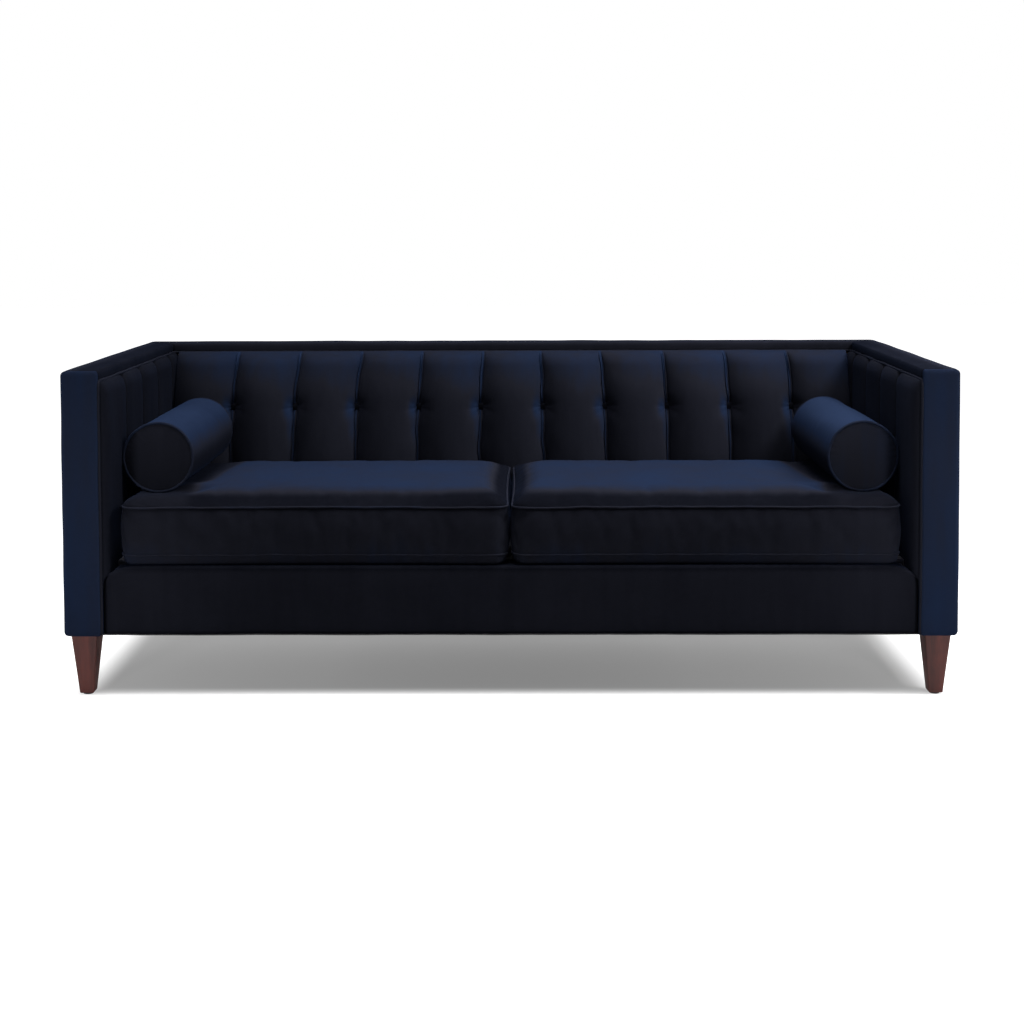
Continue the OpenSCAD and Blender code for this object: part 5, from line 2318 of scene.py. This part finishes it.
@dataclass
class Studio:
    """White studio with soft lamps, a floor and the camera of the photograph."""

    place: tuple[float, float, float] = (0.0365, -3.9486, 1.150)
    lens: float = 52.425
    pan: float = 0.473
    tilt: float = 2.489
    roll: float = -0.186
    shift: float = -0.225
    floor_size: float = 30.0
    ambient: float = 0.35
    floor_seen: float = 0.50
    floor_bounce: float = 0.45
    # Emission of the painted shadow under the sofa, and the distances from the outline over which it
    # rises to white.
    shade: float = 0.14
    fade: tuple[float, float] = (-0.09, 0.02)
    lamps: tuple[Lamp, ...] = (
        Lamp("top_softbox", (0.30, -0.42, 3.5), (0.25, -0.28, 0.0), (3.3, 1.5), 20.0, 36.0),
        Lamp("right_softbox", (2.5, -0.75, 2.9), (0.1, 0.1, 0.5), (1.0, 1.0), 15.0, 60.0),
        Lamp("left_strip", (-1.45, -1.90, 0.62), (-1.02, -0.43, 0.47), (0.25, 0.8), 0.60, 30.0),
        Lamp("right_strip", (1.45, -1.90, 0.62), (1.02, -0.43, 0.47), (0.25, 0.8), 0.68, 30.0),
        Lamp("left_side", (-3.3, 0.0, 0.45), (-1.07, 0.0, 0.42), (1.3, 0.5), 9.0, 60.0),
        Lamp("right_side", (3.3, 0.0, 0.45), (1.07, 0.0, 0.42), (1.3, 0.5), 9.0, 60.0),
        Lamp("rear_fill", (0.0, 3.6, 0.9), (0.0, 0.43, 0.42), (2.4, 1.0), 26.0, 70.0),
    )

    def build(self) -> None:
        """Sets up view, world, floor, lamps and camera."""
        bpy.context.scene.view_settings.view_transform = "Standard"
        self.world()
        self.floor()
        for lamp in self.lamps:
            lamp.build()
        self.camera()

    def world(self) -> None:
        """White as seen by the camera, and a low even light on the object."""
        world = bpy.data.worlds.new("studio")
        bpy.context.scene.world = world
        graph = Graph(world)
        seen = graph.node("ShaderNodeLightPath", output="Is Camera Ray")
        strength = seen * (1.0 - self.ambient) + self.ambient
        light = graph.node("ShaderNodeBackground", None, {"Color": WHITE, "Strength": strength})
        graph.end(light, "ShaderNodeOutputWorld")

    def floor(self) -> None:
        """A pale floor with the sofa's cast shadow, and a painted shadow under it.

        For the camera it also gives off light: a grey painted shadow under the sofa, which rises to
        white with the distance from the sofa's outline and covers any cast shadow beyond it.
        """
        _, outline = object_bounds()
        half = self.floor_size / 2
        corners = [(-half, -half, 0), (half, -half, 0), (half, half, 0), (-half, half, 0)]
        mesh = bpy.data.meshes.new("studio_floor")
        mesh.from_pydata(corners, [], [(0, 1, 2, 3)])
        floor = bpy.data.objects.new("studio_floor", mesh)
        bpy.context.scene.collection.objects.link(floor)
        graph = Graph.of_material("studio_floor")
        seen = graph.node("ShaderNodeLightPath", output="Is Camera Ray")
        place = graph.place()
        x = graph.node("ShaderNodeSeparateXYZ", None, {0: place}, "X")
        y = graph.node("ShaderNodeSeparateXYZ", None, {0: place}, "Y")
        # The camera sees a painted shadow: emission at the shade level inside the sofa's outline,
        # rising to white just outside it.
        outside = (x.size() - outline[0]).over(y.size() - outline[1])
        fade = {"Value": outside, "From Min": self.fade[0], "From Max": self.fade[1]}
        fade |= {"To Min": self.shade, "To Max": 1.0}
        lift = graph.node("ShaderNodeMapRange", {"interpolation_type": "SMOOTHSTEP"}, fade)
        tone = seen * (self.floor_seen - self.floor_bounce) + self.floor_bounce
        colour = graph.node("ShaderNodeCombineColor", None, {0: tone, 1: tone, 2: tone})
        pale = graph.node("ShaderNodeBsdfDiffuse", None, {"Color": colour})
        glow = graph.node("ShaderNodeEmission", None, {"Strength": seen * lift})
        graph.end(graph.node("ShaderNodeAddShader", None, {0: pale, 1: glow}))
        mesh.materials.append(graph.owner)
        floor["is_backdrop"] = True

    def camera(self) -> None:
        """The photograph's camera: nearly level, with the view shifted down.

        It looks along +Y, then rolls about its own axis, tilts down and pans to the left.
        """
        data = bpy.data.cameras.new("camera")
        data.lens = self.lens
        data.sensor_width = 36.0
        data.shift_y = self.shift
        camera = bpy.data.objects.new("camera", data)
        turn = (
            Matrix.Rotation(math.radians(self.pan), 4, "Z")
            @ Matrix.Rotation(math.radians(90 - self.tilt), 4, "X")
            @ Matrix.Rotation(math.radians(self.roll), 4, "Z")
        )
        camera.matrix_world = Matrix.Translation(self.place) @ turn
        bpy.context.scene.collection.objects.link(camera)
        bpy.context.scene.camera = camera


def main() -> None:
    """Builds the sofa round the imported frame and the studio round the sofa."""
    logging.basicConfig(level=logging.INFO, format="%(name)s: %(message)s")
    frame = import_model()
    Studio().build()
    shop = Workshop()
    shop.dress(frame["nodes"], frame["record"])
    planes = Planes.read()
    ArmsAndBack(shop, planes).build()
    BackPad(shop, planes).build()
    ArmPads(shop, planes).build()
    SeatBase(shop, planes).build()
    Legs(shop).build()
    for side in Side:
        SeatCushion(shop, side).build()
        Bolster(shop, side).build()


if __name__ == "__main__":
    main()
